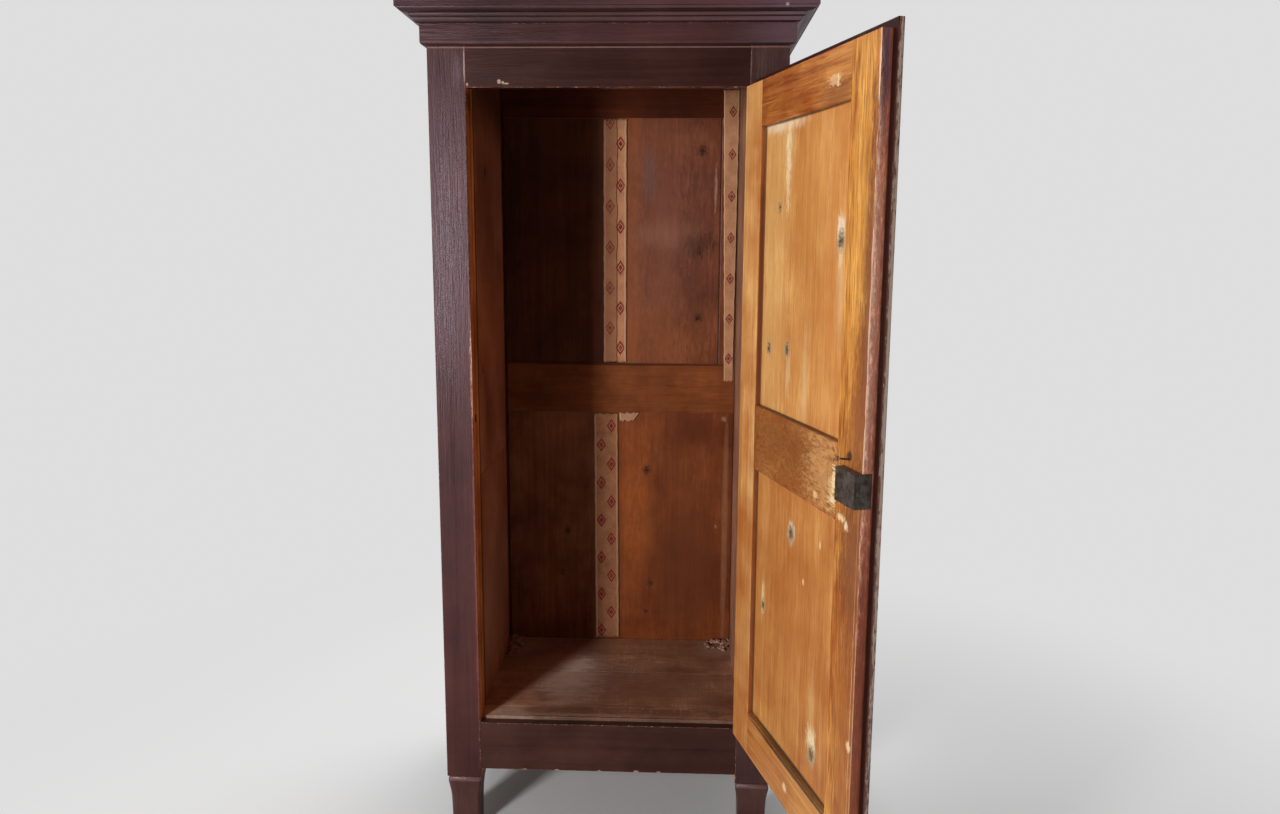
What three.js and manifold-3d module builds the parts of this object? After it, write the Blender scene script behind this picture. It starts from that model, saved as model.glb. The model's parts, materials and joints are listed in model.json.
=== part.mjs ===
// One-door softwood cabinet (bonnetiere): frame-and-panel case on shaped feet, moulded
// cornice, door hung on two pin hinges on the right, surface-mounted iron lock.
// Millimetres. X runs to the right, Y to the back, Z up. The door is modelled closed and
// then turned open about its hinge pins.

import * as THREE from 'three';
import { mergeVertices } from 'three/addons/utils/BufferGeometryUtils.js';
import Module from 'manifold-3d';

const wasm = await Module();
wasm.setup();

// Driving dimensions of the case
const caseWidth = 800;
const caseDepth = 545;
const postWidth = 85.6;
const openingHeight = 1507;
const footHeight = 140;
const postDrop = 26;
const bottomRailHeight = 122.5;
const friezeHeight = 88.5;
const frontPostDepth = 78;
const rearPostDepth = 80;
const wallSetBack = 7.3;
const backThickness = 26;

// Stock sizes of the case
const frontRailThickness = 28;
const sideRailThickness = 28;
const topRailDrop = 3;
const midRailHeight = 140;
const midRailPlaceShare = 0.506;
const panelThickness = 12;
const panelSetBack = 8;
const panelFieldInset = 45;
const panelFieldRise = 5;
const grooveDepth = 9;
const tenonThickness = 10;
const tenonLength = 34;
const tenonShoulder = 14;
const liningThickness = 10;
const liningSeamShare = 0.354;
const backBoardSetBack = 4;
const backBoardThickness = 10;
const upperCrack = -12;
const lowerCrack = -40;
const narrowBoardWidth = 44;
const postChamfer = 5;

// Floor and top
const floorThickness = 18;
const floorTongueThickness = 9;
const floorRise = 8.5;
const doorStopDepth = 23;
const bottomRailThickness = 46;
const frontFloorBoardShare = 0.547;
const topBoardThickness = 14;
const parapet = 12;

// Cornice: projections from the case and heights of its members
const fasciaHeight = 45;
const fasciaProjection = 12;
const neckProjection = 3;
const neckBeadHeight = 7;
const firstBeadProjection = 23;
const firstBeadRise = 10;
const secondBeadProjection = 31;
const secondBeadRise = 18;
const ovoloProjection = 50;
const ovoloRise = 28;
const beadFillet = 1.5;
const coronaProjection = 55;
const coronaHeight = 35;

// Feet
const footReveal = 1.8;
const footDraw = 6.5;
const footCornerShare = 0.9;
const dowelRadius = 12;
const dowelLength = 30;

// Door
const doorGap = 2.8;
const doorFootGap = 2;
const doorBodyThickness = 21.5;
const doorSkinThickness = 11;
const rebateGap = 0.5;
const doorOverlap = 7;
const doorTopOverlap = 13;
const hingeStileWidth = 96;
const lockStileWidth = 104;
const doorTopRailHeight = 94;
const lockRailHeight = 142;
const lockRailPlaceShare = 0.498;
const doorBottomRailHeight = 101;
const doorPanelRecess = 10;
const doorPanelThickness = 10;
const doorFieldInset = 38;
const doorFieldRise = 6;
const doorTenonLength = 70;
const openAngle = 106;

// Hinges
const barrelRadius = 6;
const knuckleLength = 46;
const pinRadius = 3;
const bladeThickness = 2.5;
const bladeLength = 34;
const bladeHeight = 38;
const finialRadius = 4.5;
const finialSink = 0.6;
const hingeEndShares = [0.11, 0.89];

// Lock
const lockLength = 74;
const lockHeight = 61;
const lockThickness = 17;
const lockCenterAboveRail = 77;
const lockWall = 2;
const forendThickness = 1.6;
const forendWidth = 16;
const boltHeight = 16;
const boltThickness = 8;
const boltLength = 60;
const boltThrow = 12;
const strikeClearance = 2;
const keyholeRadius = 2.8;
const keyholeSlotWidth = 3;
const keyholeSlotLength = 14;
const keyholeFromEdge = 46;
const plateThickness = 1.5;
const plateWidth = 34;
const plateHeight = 82;

// Nail over the lock, and paper strips pasted over the cracks of the back
const nailRadius = 1.6;
const nailHeadRadius = 4.6;
const nailHeadHeight = 2.2;
const nailHeadRimShare = 0.33;
const nailHeadCrownShare = 0.7;
const nailLength = 20;
const nailDepth = 14;
const nailFromEdge = 56;
const nailAboveLock = 14;
const nailTilt = 8;
const paperThickness = 0.6;
const upperPaperWidth = 63;
const lowerPaperWidth = 67;
const cornerPaperTopWidth = 43;
const cornerPaperEndWidth = 24;

// Clearances
const fitGap = 0.3;
const mitreGap = 0.25;
const crackWidth = 0.5;
const groovePlay = 1;
const overrun = 5;
const arcSteps = 6;
const roundSegments = 20;
const samePoint = 0.0001;

// Colours, roughness and metalness of the real finishes
const finishes = {
  paint: { color: 0x4c383b, roughness: 0.45, metalness: 0 },
  insideWood: { color: 0xb06a36, roughness: 0.42, metalness: 0 },
  doorWood: { color: 0xc48a4e, roughness: 0.5, metalness: 0 },
  backWood: { color: 0xa9622f, roughness: 0.45, metalness: 0 },
  rawWood: { color: 0x8c5a33, roughness: 0.8, metalness: 0 },
  iron: { color: 0x5b4a3c, roughness: 0.6, metalness: 0.8 },
  paper: { color: 0xd8c6b2, roughness: 0.9, metalness: 0 },
};

// Shape makers

// Gives every point of a geometry its real place.
function placed(geometry, place) {
  const points = geometry.attributes.position;
  for (let i = 0; i < points.count; i++) {
    points.setXYZ(i, ...place(points.getX(i), points.getY(i), points.getZ(i)));
  }
  return geometry;
}

// Turns a closed geometry into a solid that can be joined and cut.
function solidOf(geometry) {
  const bare = geometry.clone();
  bare.deleteAttribute('normal');
  bare.deleteAttribute('uv');
  const merged = mergeVertices(bare, samePoint);
  const corners = merged.index.array;
  let triVerts = [];
  for (let i = 0; i < corners.length; i += 3) {
    const [a, b, c] = [corners[i], corners[i + 1], corners[i + 2]];
    if (a !== b && b !== c && c !== a) triVerts.push(a, b, c);
  }
  const vertProperties = merged.attributes.position.array;
  if (volumeOf(vertProperties, triVerts) < 0) triVerts = triVerts.reverse();
  return new wasm.Manifold(new wasm.Mesh({
    numProp: 3, vertProperties, triVerts: Uint32Array.from(triVerts),
  }));
}

// Signed volume, which tells whether the faces point outwards.
function volumeOf(points, corners) {
  const corner = (i) => new THREE.Vector3().fromArray(points, 3 * corners[i]);
  let sixfold = 0;
  for (let i = 0; i < corners.length; i += 3) {
    sixfold += corner(i).dot(corner(i + 1).cross(corner(i + 2)));
  }
  return sixfold;
}

// A rectangular stick or board between two values on each axis.
function block(xs, ys, zs) {
  const pick = (range, t) => (t > 0 ? range[1] : range[0]);
  return solidOf(placed(new THREE.BoxGeometry(1, 1, 1), (x, y, z) => [pick(xs, x), pick(ys, y), pick(zs, z)]));
}

// A board whose long faces step in towards a field, as fielded panels do. The levels run
// along Y, each with the inset of its outline.
function fielded(xs, zs, levels) {
  const outline = new THREE.Shape([[-1, -1], [1, -1], [1, 1], [-1, 1]].map((p) => new THREE.Vector2(...p)));
  const steps = levels.length - 1;
  const unit = new THREE.ExtrudeGeometry(outline, { depth: 1, steps, bevelEnabled: false });
  return solidOf(placed(unit, (x, z, t) => {
    const [y, inset] = levels[Math.round(t * steps)];
    return [x > 0 ? xs[1] - inset : xs[0] + inset, y, z > 0 ? zs[1] - inset : zs[0] + inset];
  }));
}

// An upright member with canted corners, whose section follows a list of
// [height, half width, half depth] levels.
function shapedUpright(centerX, centerY, levels) {
  const c = footCornerShare;
  const corners = [[c, -1], [1, -c], [1, c], [c, 1], [-c, 1], [-1, c], [-1, -c], [-c, -1]];
  const outline = new THREE.Shape(corners.map((p) => new THREE.Vector2(...p)));
  const steps = levels.length - 1;
  const unit = new THREE.ExtrudeGeometry(outline, { depth: 1, steps, bevelEnabled: false });
  return solidOf(placed(unit, (x, y, t) => {
    const [z, halfX, halfY] = levels[Math.round(t * steps)];
    return [centerX + x * halfX, centerY + y * halfY, z];
  }));
}

// A round piece about an upright line, from [radius, height] points that start and end on it.
function turned(x0, y0, profile) {
  const points = profile.map((p) => new THREE.Vector2(...p));
  const round = new THREE.LatheGeometry(points, roundSegments);
  return solidOf(placed(round, (x, y, z) => [x0 + x, y0 - z, y]));
}

// A round pin along Y.
function pinAlongY(x, z, radius, ys) {
  const round = new THREE.LatheGeometry(
    [[0, ys[0]], [radius, ys[0]], [radius, ys[1]], [0, ys[1]]].map((p) => new THREE.Vector2(...p)), roundSegments);
  return solidOf(placed(round, (px, py, pz) => [x + px, py, z + pz]));
}

// A run of moulding: a profile of [projection, height] points is drawn out between two ends,
// and place() puts each point of it, so that the ends can be mitred.
function moulding(profile, place) {
  const outline = new THREE.Shape(profile.map((p) => new THREE.Vector2(...p)));
  return solidOf(placed(new THREE.ExtrudeGeometry(outline, { depth: 1, bevelEnabled: false }), place));
}

function united(...solids) {
  return wasm.Manifold.union(solids);
}

function grown(range, gap) {
  return [range[0] - gap, range[1] + gap];
}

// Points of a quarter round from one [projection, height] corner to another.
function quarterRound(from, to) {
  const points = [];
  for (let i = 0; i <= arcSteps; i++) {
    const angle = (i / arcSteps) * Math.PI / 2;
    points.push([
      from[0] + (to[0] - from[0]) * Math.sin(angle),
      from[1] + (to[1] - from[1]) * (1 - Math.cos(angle)),
    ]);
  }
  return points;
}

const cabinet = new THREE.Group();
const closedDoor = new THREE.Group();

// Hangs a solid in a group as a named mesh with its finish.
function add(group, name, solid, finish) {
  const { vertProperties, triVerts } = solid.getMesh();
  const geometry = new THREE.BufferGeometry();
  geometry.setAttribute('position', new THREE.BufferAttribute(vertProperties, 3));
  geometry.setIndex(new THREE.BufferAttribute(triVerts, 1));
  geometry.computeVertexNormals();
  const mesh = new THREE.Mesh(geometry, new THREE.MeshStandardMaterial(finishes[finish]));
  mesh.name = name;
  group.add(mesh);
}

// Levels and places that the pieces share
const halfWidth = caseWidth / 2;
const jamb = halfWidth - postWidth;
const wall = jamb + wallSetBack;
const liningBack = wall + liningThickness;
const frontPostBack = frontPostDepth;
const rearPostFront = caseDepth - rearPostDepth;
const railBottom = footHeight + postDrop;
const openingBottom = railBottom + bottomRailHeight;
const openingTop = openingBottom + openingHeight;
const floorTop = openingBottom + floorRise;
const floorBottom = floorTop - floorThickness;
const liningFoot = floorBottom + floorTongueThickness;
const corniceBottom = openingTop + friezeHeight;
const fasciaTop = corniceBottom + fasciaHeight;
const corniceTop = fasciaTop + ovoloRise + coronaHeight;
const caseTop = corniceTop - parapet - topBoardThickness;
const topRailBottom = openingTop - topRailDrop;
const midRailCenter = openingBottom + midRailPlaceShare * openingHeight;
const midRailZs = [midRailCenter - midRailHeight / 2, midRailCenter + midRailHeight / 2];
const backDepth = caseDepth - backThickness;
const backBoardFront = backDepth + backBoardSetBack;
const backBoardBack = backBoardFront + backBoardThickness;
const sideOuter = halfWidth;
const sideInner = halfWidth - sideRailThickness;
const sidePanelOuter = halfWidth - panelSetBack;
const sidePanelInner = sidePanelOuter - panelThickness;

// Mirrors an X range to the left for side -1 and keeps it for side 1.
function onSide(side, near, far) {
  return side > 0 ? [near, far] : [-far, -near];
}

const frontPost = { ys: [0, frontPostBack], inner: jamb };
const rearPost = { ys: [rearPostFront, caseDepth], inner: wall };

// Heights of the three side rails and of the tenons on them
const sideRails = [
  { name: 'bottom', zs: [railBottom, floorTop + tenonShoulder] },
  { name: 'mid', zs: midRailZs },
  { name: 'top', zs: [topRailBottom, caseTop] },
];
const backRails = [
  { name: 'bottom', zs: [railBottom, floorBottom] },
  { name: 'mid', zs: midRailZs },
  { name: 'top', zs: [topRailBottom, caseTop] },
];
const sideTenonXs = (side) => {
  const middle = (sideOuter + sideInner) / 2;
  return onSide(side, middle - tenonThickness / 2, middle + tenonThickness / 2);
};
const frontTenonYs = [tenonShoulder, tenonShoulder + tenonThickness];
const backTenonYs = [backBoardFront, backBoardBack];
const frontRails = [
  { name: 'front_bottom_rail', zs: [railBottom, openingBottom], thickness: bottomRailThickness },
  { name: 'front_top_rail', zs: [openingTop, caseTop], thickness: frontRailThickness },
];

function tenonZs(zs) {
  return [zs[0] + tenonShoulder, zs[1] - tenonShoulder];
}

// Fields of the sides and the back between the rails
const fields = [
  { name: 'lower', zs: [sideRails[0].zs[1], sideRails[1].zs[0]] },
  { name: 'upper', zs: [sideRails[1].zs[1], sideRails[2].zs[0]] },
];
const backFields = [
  { name: 'lower', zs: [backRails[0].zs[1], backRails[1].zs[0]], crack: lowerCrack },
  { name: 'upper', zs: [backRails[1].zs[1], backRails[2].zs[0]], crack: upperCrack },
];

// The mortise that the bolt enters when the door is shut and locked
const doorInnerFace = doorBodyThickness;
const lockRailCenter = openingBottom + lockRailPlaceShare * openingHeight;
const lockRailBottom = lockRailCenter - lockRailHeight / 2;
const lockCenterZ = lockRailBottom + lockCenterAboveRail;
const boltYs = [
  doorInnerFace + lockThickness / 2 - boltThickness / 2,
  doorInnerFace + lockThickness / 2 + boltThickness / 2,
];
const boltZs = [lockCenterZ - boltHeight / 2, lockCenterZ + boltHeight / 2];

// Hinge places, shared by the right post and the door
const pinX = jamb + doorOverlap + rebateGap + barrelRadius;
const pinY = -barrelRadius - fitGap;
const hingeZs = hingeEndShares.map((share) => openingBottom + share * openingHeight);
const caseBladeYs = [pinY + pinRadius / 2, pinY + barrelRadius + bladeLength];
const caseBladeXs = [pinX - bladeThickness / 2, pinX + bladeThickness / 2];
const caseBladeZs = (z) => [z - knuckleLength / 2 - bladeHeight / 2, z - knuckleLength / 2 + bladeHeight / 2];
const doorBladeXs = [pinX - barrelRadius - bladeLength, pinX - pinRadius - fitGap];
const doorBladeYs = [pinY - bladeThickness / 2, pinY + bladeThickness / 2];
const doorBladeZs = (z) => [z + knuckleLength / 2 - bladeHeight / 2, z + knuckleLength / 2 + bladeHeight / 2];

// Posts: full-height corner members with mortises for the rails and grooves for the panels
function makePost(side, end) {
  const post = end === 'front' ? frontPost : rearPost;
  const xs = onSide(side, post.inner, halfWidth);
  const [yNear, yFar] = post.ys;
  const levels = [[footHeight, postChamfer], [footHeight + postChamfer, 0], [caseTop, 0]];
  const steps = levels.length - 1;
  const outline = new THREE.Shape([[0, 0], [1, 0], [1, 1], [0, 1]].map((p) => new THREE.Vector2(...p)));
  const unit = new THREE.ExtrudeGeometry(outline, { depth: 1, steps, bevelEnabled: false });
  const stick = solidOf(placed(unit, (x, y, t) => {
    const [z, inset] = levels[Math.round(t * steps)];
    return [x > 0 ? xs[1] - inset : xs[0] + inset, y > 0 ? yFar - inset : yNear + inset, z];
  }));
  const reach = end === 'front' ? [yFar - tenonLength, yFar + overrun] : [yNear - overrun, yNear + tenonLength];
  const groove = end === 'front' ? [yFar - grooveDepth, yFar + overrun] : [yNear - overrun, yNear + grooveDepth];
  const cuts = [];
  for (const rail of sideRails) {
    cuts.push(block(grown(sideTenonXs(side), fitGap), grown(reach, fitGap), grown(tenonZs(rail.zs), fitGap)));
  }
  for (const field of fields) {
    cuts.push(block(grown(onSide(side, sidePanelInner, sidePanelOuter), fitGap), groove,
      grown(field.zs, grooveDepth)));
  }
  cuts.push(block(grown(onSide(side, wall, liningBack), fitGap), groove,
    [liningFoot - fitGap, caseTop + overrun]));
  const innerFace = onSide(side, post.inner - overrun, post.inner + tenonLength + fitGap);
  if (end === 'front') {
    for (const rail of frontRails) {
      cuts.push(block(innerFace, grown(frontTenonYs, fitGap), grown(tenonZs(rail.zs), fitGap)));
    }
    if (side < 0) {
      cuts.push(block(onSide(side, jamb - overrun, jamb + boltThrow + strikeClearance),
        grown(boltYs, strikeClearance), grown(boltZs, strikeClearance)));
    } else {
      for (const z of hingeZs) {
        cuts.push(block(grown(caseBladeXs, fitGap), [-overrun, caseBladeYs[1] + fitGap],
          grown(caseBladeZs(z), fitGap)));
      }
    }
  } else {
    for (const rail of backRails) {
      cuts.push(block(innerFace, grown(backTenonYs, fitGap), grown(tenonZs(rail.zs), fitGap)));
    }
    for (const field of backFields) {
      cuts.push(block(onSide(side, post.inner - overrun, post.inner + grooveDepth),
        grown(backTenonYs, fitGap), grown(field.zs, grooveDepth)));
    }
  }
  const [centerX, centerY] = footCenter(side, end);
  cuts.push(turned(centerX, centerY, [[0, footHeight - overrun], [dowelRadius + fitGap, footHeight - overrun],
    [dowelRadius + fitGap, footHeight + dowelLength + groovePlay], [0, footHeight + dowelLength + groovePlay]]));
  return stick.subtract(united(...cuts));
}

function footCenter(side, end) {
  const post = end === 'front' ? frontPost : rearPost;
  return [side * (post.inner + halfWidth) / 2, (post.ys[0] + post.ys[1]) / 2];
}

// Feet: square blocks with a rounded shoulder that draw in to a slim ankle, dowelled to the
// posts. Each level is [share of the height, share of the draw].
const footLevelShares = [
  [0, 1.25], [0.3, 1.12], [0.5, 1.02], [0.64, 0.88], [0.74, 0.64], [0.82, 0.36],
  [0.88, 0.12], [0.93, 0], [0.97, 0.1], [1, 0.45],
];

function makeFoot(side, end) {
  const post = end === 'front' ? frontPost : rearPost;
  const [centerX, centerY] = footCenter(side, end);
  const fullX = (halfWidth - post.inner) / 2 - footReveal;
  const fullY = (post.ys[1] - post.ys[0]) / 2 - footReveal;
  const levels = footLevelShares.map(([height, draw]) => [
    height * footHeight, fullX - draw * footDraw, fullY - draw * footDraw,
  ]);
  const dowel = turned(centerX, centerY, [[0, footHeight - overrun], [dowelRadius, footHeight - overrun],
    [dowelRadius, footHeight + dowelLength], [0, footHeight + dowelLength]]);
  return united(shapedUpright(centerX, centerY, levels), dowel);
}

for (const end of ['front', 'rear']) {
  for (const side of [-1, 1]) {
    const place = `${end}_${side < 0 ? 'left' : 'right'}`;
    add(cabinet, `post_${place}`, makePost(side, end), 'paint');
    add(cabinet, `foot_${place}`, makeFoot(side, end), 'paint');
  }
}

// Front rails, tenoned into the front posts; the bottom one has a ledge for the floor strip
for (const rail of frontRails) {
  const ys = [0, rail.thickness];
  let solid = united(
    block([-jamb, jamb], ys, rail.zs),
    block([-jamb - tenonLength, jamb + tenonLength], frontTenonYs, tenonZs(rail.zs)),
  );
  if (rail.zs[0] === railBottom) {
    solid = solid.subtract(block([-jamb - overrun, jamb + overrun], [doorStopDepth, rail.thickness + overrun],
      [floorBottom, openingBottom + overrun]));
  }
  add(cabinet, rail.name, solid, 'paint');
}

// Side rails between the front and rear posts, grooved for the panels
for (const side of [-1, 1]) {
  const hand = side < 0 ? 'left' : 'right';
  for (const rail of sideRails) {
    const xs = onSide(side, sideInner, sideOuter);
    const cuts = fields.map((field) => block(
      grown(onSide(side, sidePanelInner, sidePanelOuter), fitGap),
      grown([frontPostBack, rearPostFront], overrun),
      grown(field.zs, grooveDepth)));
    if (rail.name === 'bottom') {
      cuts.push(block(onSide(side, sideInner - overrun, sideInner + grooveDepth + fitGap),
        grown([frontPostBack, rearPostFront], overrun), grown([floorBottom, liningFoot], fitGap)));
    }
    const body = block(xs, [frontPostBack, rearPostFront], rail.zs);
    const tenonYs = [[frontPostBack - tenonLength, frontPostBack + overrun],
      [rearPostFront - overrun, rearPostFront + tenonLength]];
    const tenons = tenonYs.map((ys) => block(sideTenonXs(side), ys, tenonZs(rail.zs)));
    add(cabinet, `side_${rail.name}_rail_${hand}`, united(body, ...tenons).subtract(united(...cuts)), 'paint');
  }
  for (const field of fields) {
    const reach = grooveDepth - groovePlay;
    const panel = fielded(grown([frontPostBack, rearPostFront], reach), grown(field.zs, reach), [
      [-sidePanelInner, 0], [-sidePanelOuter, 0], [-sidePanelOuter, panelFieldInset - panelFieldRise],
      [-sidePanelOuter - panelFieldRise, panelFieldInset],
    ]);
    add(cabinet, `side_${field.name}_panel_${hand}`, turnedToSide(panel, side), 'paint');
  }
}

// A panel made facing the front is turned to face left or right.
function turnedToSide(solid, side) {
  const { vertProperties, triVerts } = solid.getMesh();
  const geometry = new THREE.BufferGeometry();
  geometry.setAttribute('position', new THREE.BufferAttribute(vertProperties, 3));
  geometry.setIndex(new THREE.BufferAttribute(triVerts, 1));
  return solidOf(placed(geometry, (x, y, z) => [-side * y, x, z]));
}

// Side lining boards inside, tongued into the posts and standing on the tongues of the floor
const liningTop = caseTop - fitGap;
const liningSeam = floorTop + liningSeamShare * (liningTop - floorTop);
const liningParts = [
  { name: 'lower', zs: [liningFoot, liningSeam - crackWidth / 2] },
  { name: 'upper', zs: [liningSeam + crackWidth / 2, liningTop] },
];
for (const side of [-1, 1]) {
  for (const part of liningParts) {
    add(cabinet, `lining_${part.name}_${side < 0 ? 'left' : 'right'}`,
      block(onSide(side, wall, liningBack),
        grown([frontPostBack, rearPostFront], grooveDepth - groovePlay), part.zs), 'insideWood');
  }
}

// Back: three rails between the rear posts and upright boards in their grooves
for (const rail of backRails) {
  const cuts = backFields.map((field) => block([-wall - overrun, wall + overrun],
    grown(backTenonYs, fitGap), grown(field.zs, grooveDepth)));
  const body = block([-wall, wall], [backDepth, caseDepth], rail.zs);
  const tenons = [-1, 1].map((side) => block(
    onSide(side, wall - overrun, wall + tenonLength), backTenonYs, tenonZs(rail.zs)));
  add(cabinet, `back_${rail.name}_rail`, united(body, ...tenons).subtract(united(...cuts)), 'backWood');
}
const boardReach = grooveDepth - groovePlay;
const narrowCrack = wall - narrowBoardWidth;
for (const field of backFields) {
  const edges = [-wall - boardReach, field.crack];
  if (field.name === 'upper') edges.push(narrowCrack);
  edges.push(wall + boardReach);
  const names = ['left', 'right', 'narrow'];
  for (let i = 0; i + 1 < edges.length; i++) {
    const left = i > 0 ? edges[i] + crackWidth / 2 : edges[i];
    const right = i + 2 < edges.length ? edges[i + 1] - crackWidth / 2 : edges[i + 1];
    add(cabinet, `back_${field.name}_board_${names[i]}`,
      block([left, right], backTenonYs, grown(field.zs, boardReach)), 'backWood');
  }
}

// Floor: a front strip that stops the door, and two boards with tongues in the side rails
add(cabinet, 'floor_front_strip', block([-jamb, jamb], [doorStopDepth, frontPostBack], [floorBottom, floorTop]),
  'insideWood');
const floorReach = sideInner + grooveDepth;
const floorSeam = frontPostBack + frontFloorBoardShare * (rearPostFront - frontPostBack);
const floorBoards = [
  { name: 'front', ys: [frontPostBack, floorSeam - crackWidth / 2], back: floorSeam - crackWidth / 2 },
  { name: 'rear', ys: [floorSeam + crackWidth / 2, rearPostFront], back: backDepth },
];
for (const board of floorBoards) {
  add(cabinet, `floor_board_${board.name}`, united(
    block([-wall, wall], [board.ys[0], board.back], [floorBottom, floorTop]),
    block([-floorReach, floorReach], board.ys, [floorBottom, liningFoot]),
  ), 'insideWood');
}

// Top boards as one panel, lying on the posts and rails behind the cornice
add(cabinet, 'top_board', block([-halfWidth, halfWidth], [0, caseDepth], [caseTop, caseTop + topBoardThickness]),
  'rawWood');

// Cornice: a flat fascia over a small bead, and a crown of stepped beads, an ovolo and a
// corona; each has a front run mitred to two side runs
const fasciaProfile = [
  [0, corniceBottom],
  ...quarterRound([neckProjection, corniceBottom], [fasciaProjection, corniceBottom + neckBeadHeight]),
  [fasciaProjection, fasciaTop],
  [0, fasciaTop],
];
const crownProfile = [
  [0, fasciaTop],
  ...quarterRound([fasciaProjection + beadFillet, fasciaTop], [firstBeadProjection, fasciaTop + firstBeadRise]),
  ...quarterRound([firstBeadProjection + beadFillet, fasciaTop + firstBeadRise],
    [secondBeadProjection, fasciaTop + secondBeadRise]),
  ...quarterRound([secondBeadProjection + beadFillet, fasciaTop + secondBeadRise],
    [ovoloProjection, fasciaTop + ovoloRise]),
  [coronaProjection, fasciaTop + ovoloRise],
  [coronaProjection, corniceTop],
  [0, corniceTop],
];
for (const [name, profile] of [['fascia', fasciaProfile], ['crown', crownProfile]]) {
  add(cabinet, `cornice_${name}_front`, moulding(profile, (p, z, t) => [
    (t > 0 ? 1 : -1) * (halfWidth + p - mitreGap), -p, z]), 'paint');
  for (const side of [-1, 1]) {
    add(cabinet, `cornice_${name}_${side < 0 ? 'left' : 'right'}`, moulding(profile, (p, z, t) => [
      side * (halfWidth + p), t > 0 ? caseDepth : mitreGap - p, z]), 'paint');
  }
}

// Paper strips pasted over the cracks between the back boards
const paperBack = backBoardFront;
const paperYs = [paperBack - paperThickness, paperBack];
for (const [name, field, width] of [
  ['upper', backFields[1], upperPaperWidth], ['lower', backFields[0], lowerPaperWidth],
]) {
  const bottom = Math.max(field.zs[0], floorTop);
  add(cabinet, `paper_strip_${name}`,
    block([field.crack - width / 2, field.crack + width / 2], paperYs, [bottom, field.zs[1]]), 'paper');
}
add(cabinet, 'paper_strip_corner', cornerPaper(backFields[1].zs), 'paper');

// The strip in the corner lies on the narrow board and runs narrower towards its foot.
function cornerPaper([bottom, top]) {
  const outline = new THREE.Shape([[0, 0], [1, 0], [1, 1], [0, 1]].map((p) => new THREE.Vector2(...p)));
  return solidOf(placed(new THREE.ExtrudeGeometry(outline, { depth: 1, bevelEnabled: false }), (x, z, t) => [
    x > 0 ? wall : wall - (z > 0 ? cornerPaperTopWidth : cornerPaperEndWidth),
    t > 0 ? paperYs[1] : paperYs[0],
    z > 0 ? top : bottom,
  ]));
}

// Door, in the place it takes when shut
const doorBottom = openingBottom + doorFootGap;
const bodyTop = openingTop - doorGap;
const skinTop = openingTop + doorTopOverlap;
const bodyEdge = jamb - doorGap;
const skinEdge = jamb + doorOverlap;
const skinFront = -rebateGap - doorSkinThickness;
const skinBack = -rebateGap;
const doorRails = [
  { name: 'bottom', zs: [doorBottom, doorBottom + doorBottomRailHeight] },
  { name: 'lock', zs: [lockRailBottom, lockRailBottom + lockRailHeight] },
  { name: 'top', zs: [bodyTop - doorTopRailHeight, bodyTop] },
];
const doorFields = [
  { name: 'lower', zs: [doorRails[0].zs[1], doorRails[1].zs[0]] },
  { name: 'upper', zs: [doorRails[1].zs[1], doorRails[2].zs[0]] },
];
const stileInner = { lock: -bodyEdge + lockStileWidth, hinge: bodyEdge - hingeStileWidth };
const doorPanelYs = [
  doorInnerFace - doorPanelRecess - doorPanelThickness, doorInnerFace - doorPanelRecess,
];
const nailZ = lockCenterZ + lockHeight / 2 + nailAboveLock;
const nailX = -bodyEdge + nailFromEdge;

function makeStile(name) {
  const lock = name === 'lock';
  const bodyXs = lock ? [-bodyEdge, stileInner.lock] : [stileInner.hinge, bodyEdge];
  const skinXs = lock ? [-skinEdge, stileInner.lock] : [stileInner.hinge, skinEdge];
  const inner = lock ? stileInner.lock : stileInner.hinge;
  const stick = united(
    block(bodyXs, [skinFront, doorInnerFace], [doorBottom, bodyTop]),
    block(skinXs, [skinFront, skinBack], [doorBottom, skinTop]),
  );
  const toward = lock ? -1 : 1;
  const slot = (depth) => [inner - overrun * toward, inner + depth * toward].sort((a, b) => a - b);
  const cuts = doorRails.map((rail) => block(slot(doorTenonLength + fitGap), grown(doorPanelYs, fitGap),
    grown(tenonZs(rail.zs), fitGap)));
  for (const field of doorFields) {
    cuts.push(block(slot(grooveDepth), grown(doorPanelYs, fitGap), grown(field.zs, grooveDepth)));
  }
  if (lock) {
    cuts.push(block([-bodyEdge - overrun, -bodyEdge + forendThickness],
      [doorInnerFace - forendWidth - fitGap, doorInnerFace + overrun],
      grown([lockCenterZ - lockHeight / 2, lockCenterZ + lockHeight / 2], fitGap)));
    cuts.push(...lockBores);
  } else {
    for (const z of hingeZs) {
      cuts.push(block([doorBladeXs[0] - fitGap, skinEdge + overrun], grown(doorBladeYs, fitGap),
        grown(doorBladeZs(z), fitGap)));
    }
  }
  return stick.subtract(united(...cuts));
}

// A round hole over a slot, as a lever key needs.
function keyhole(ys) {
  const x = -bodyEdge + keyholeFromEdge;
  return united(
    pinAlongY(x, lockCenterZ, keyholeRadius, ys),
    block([x - keyholeSlotWidth / 2, x + keyholeSlotWidth / 2], ys, [lockCenterZ - keyholeSlotLength, lockCenterZ]),
  );
}

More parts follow.
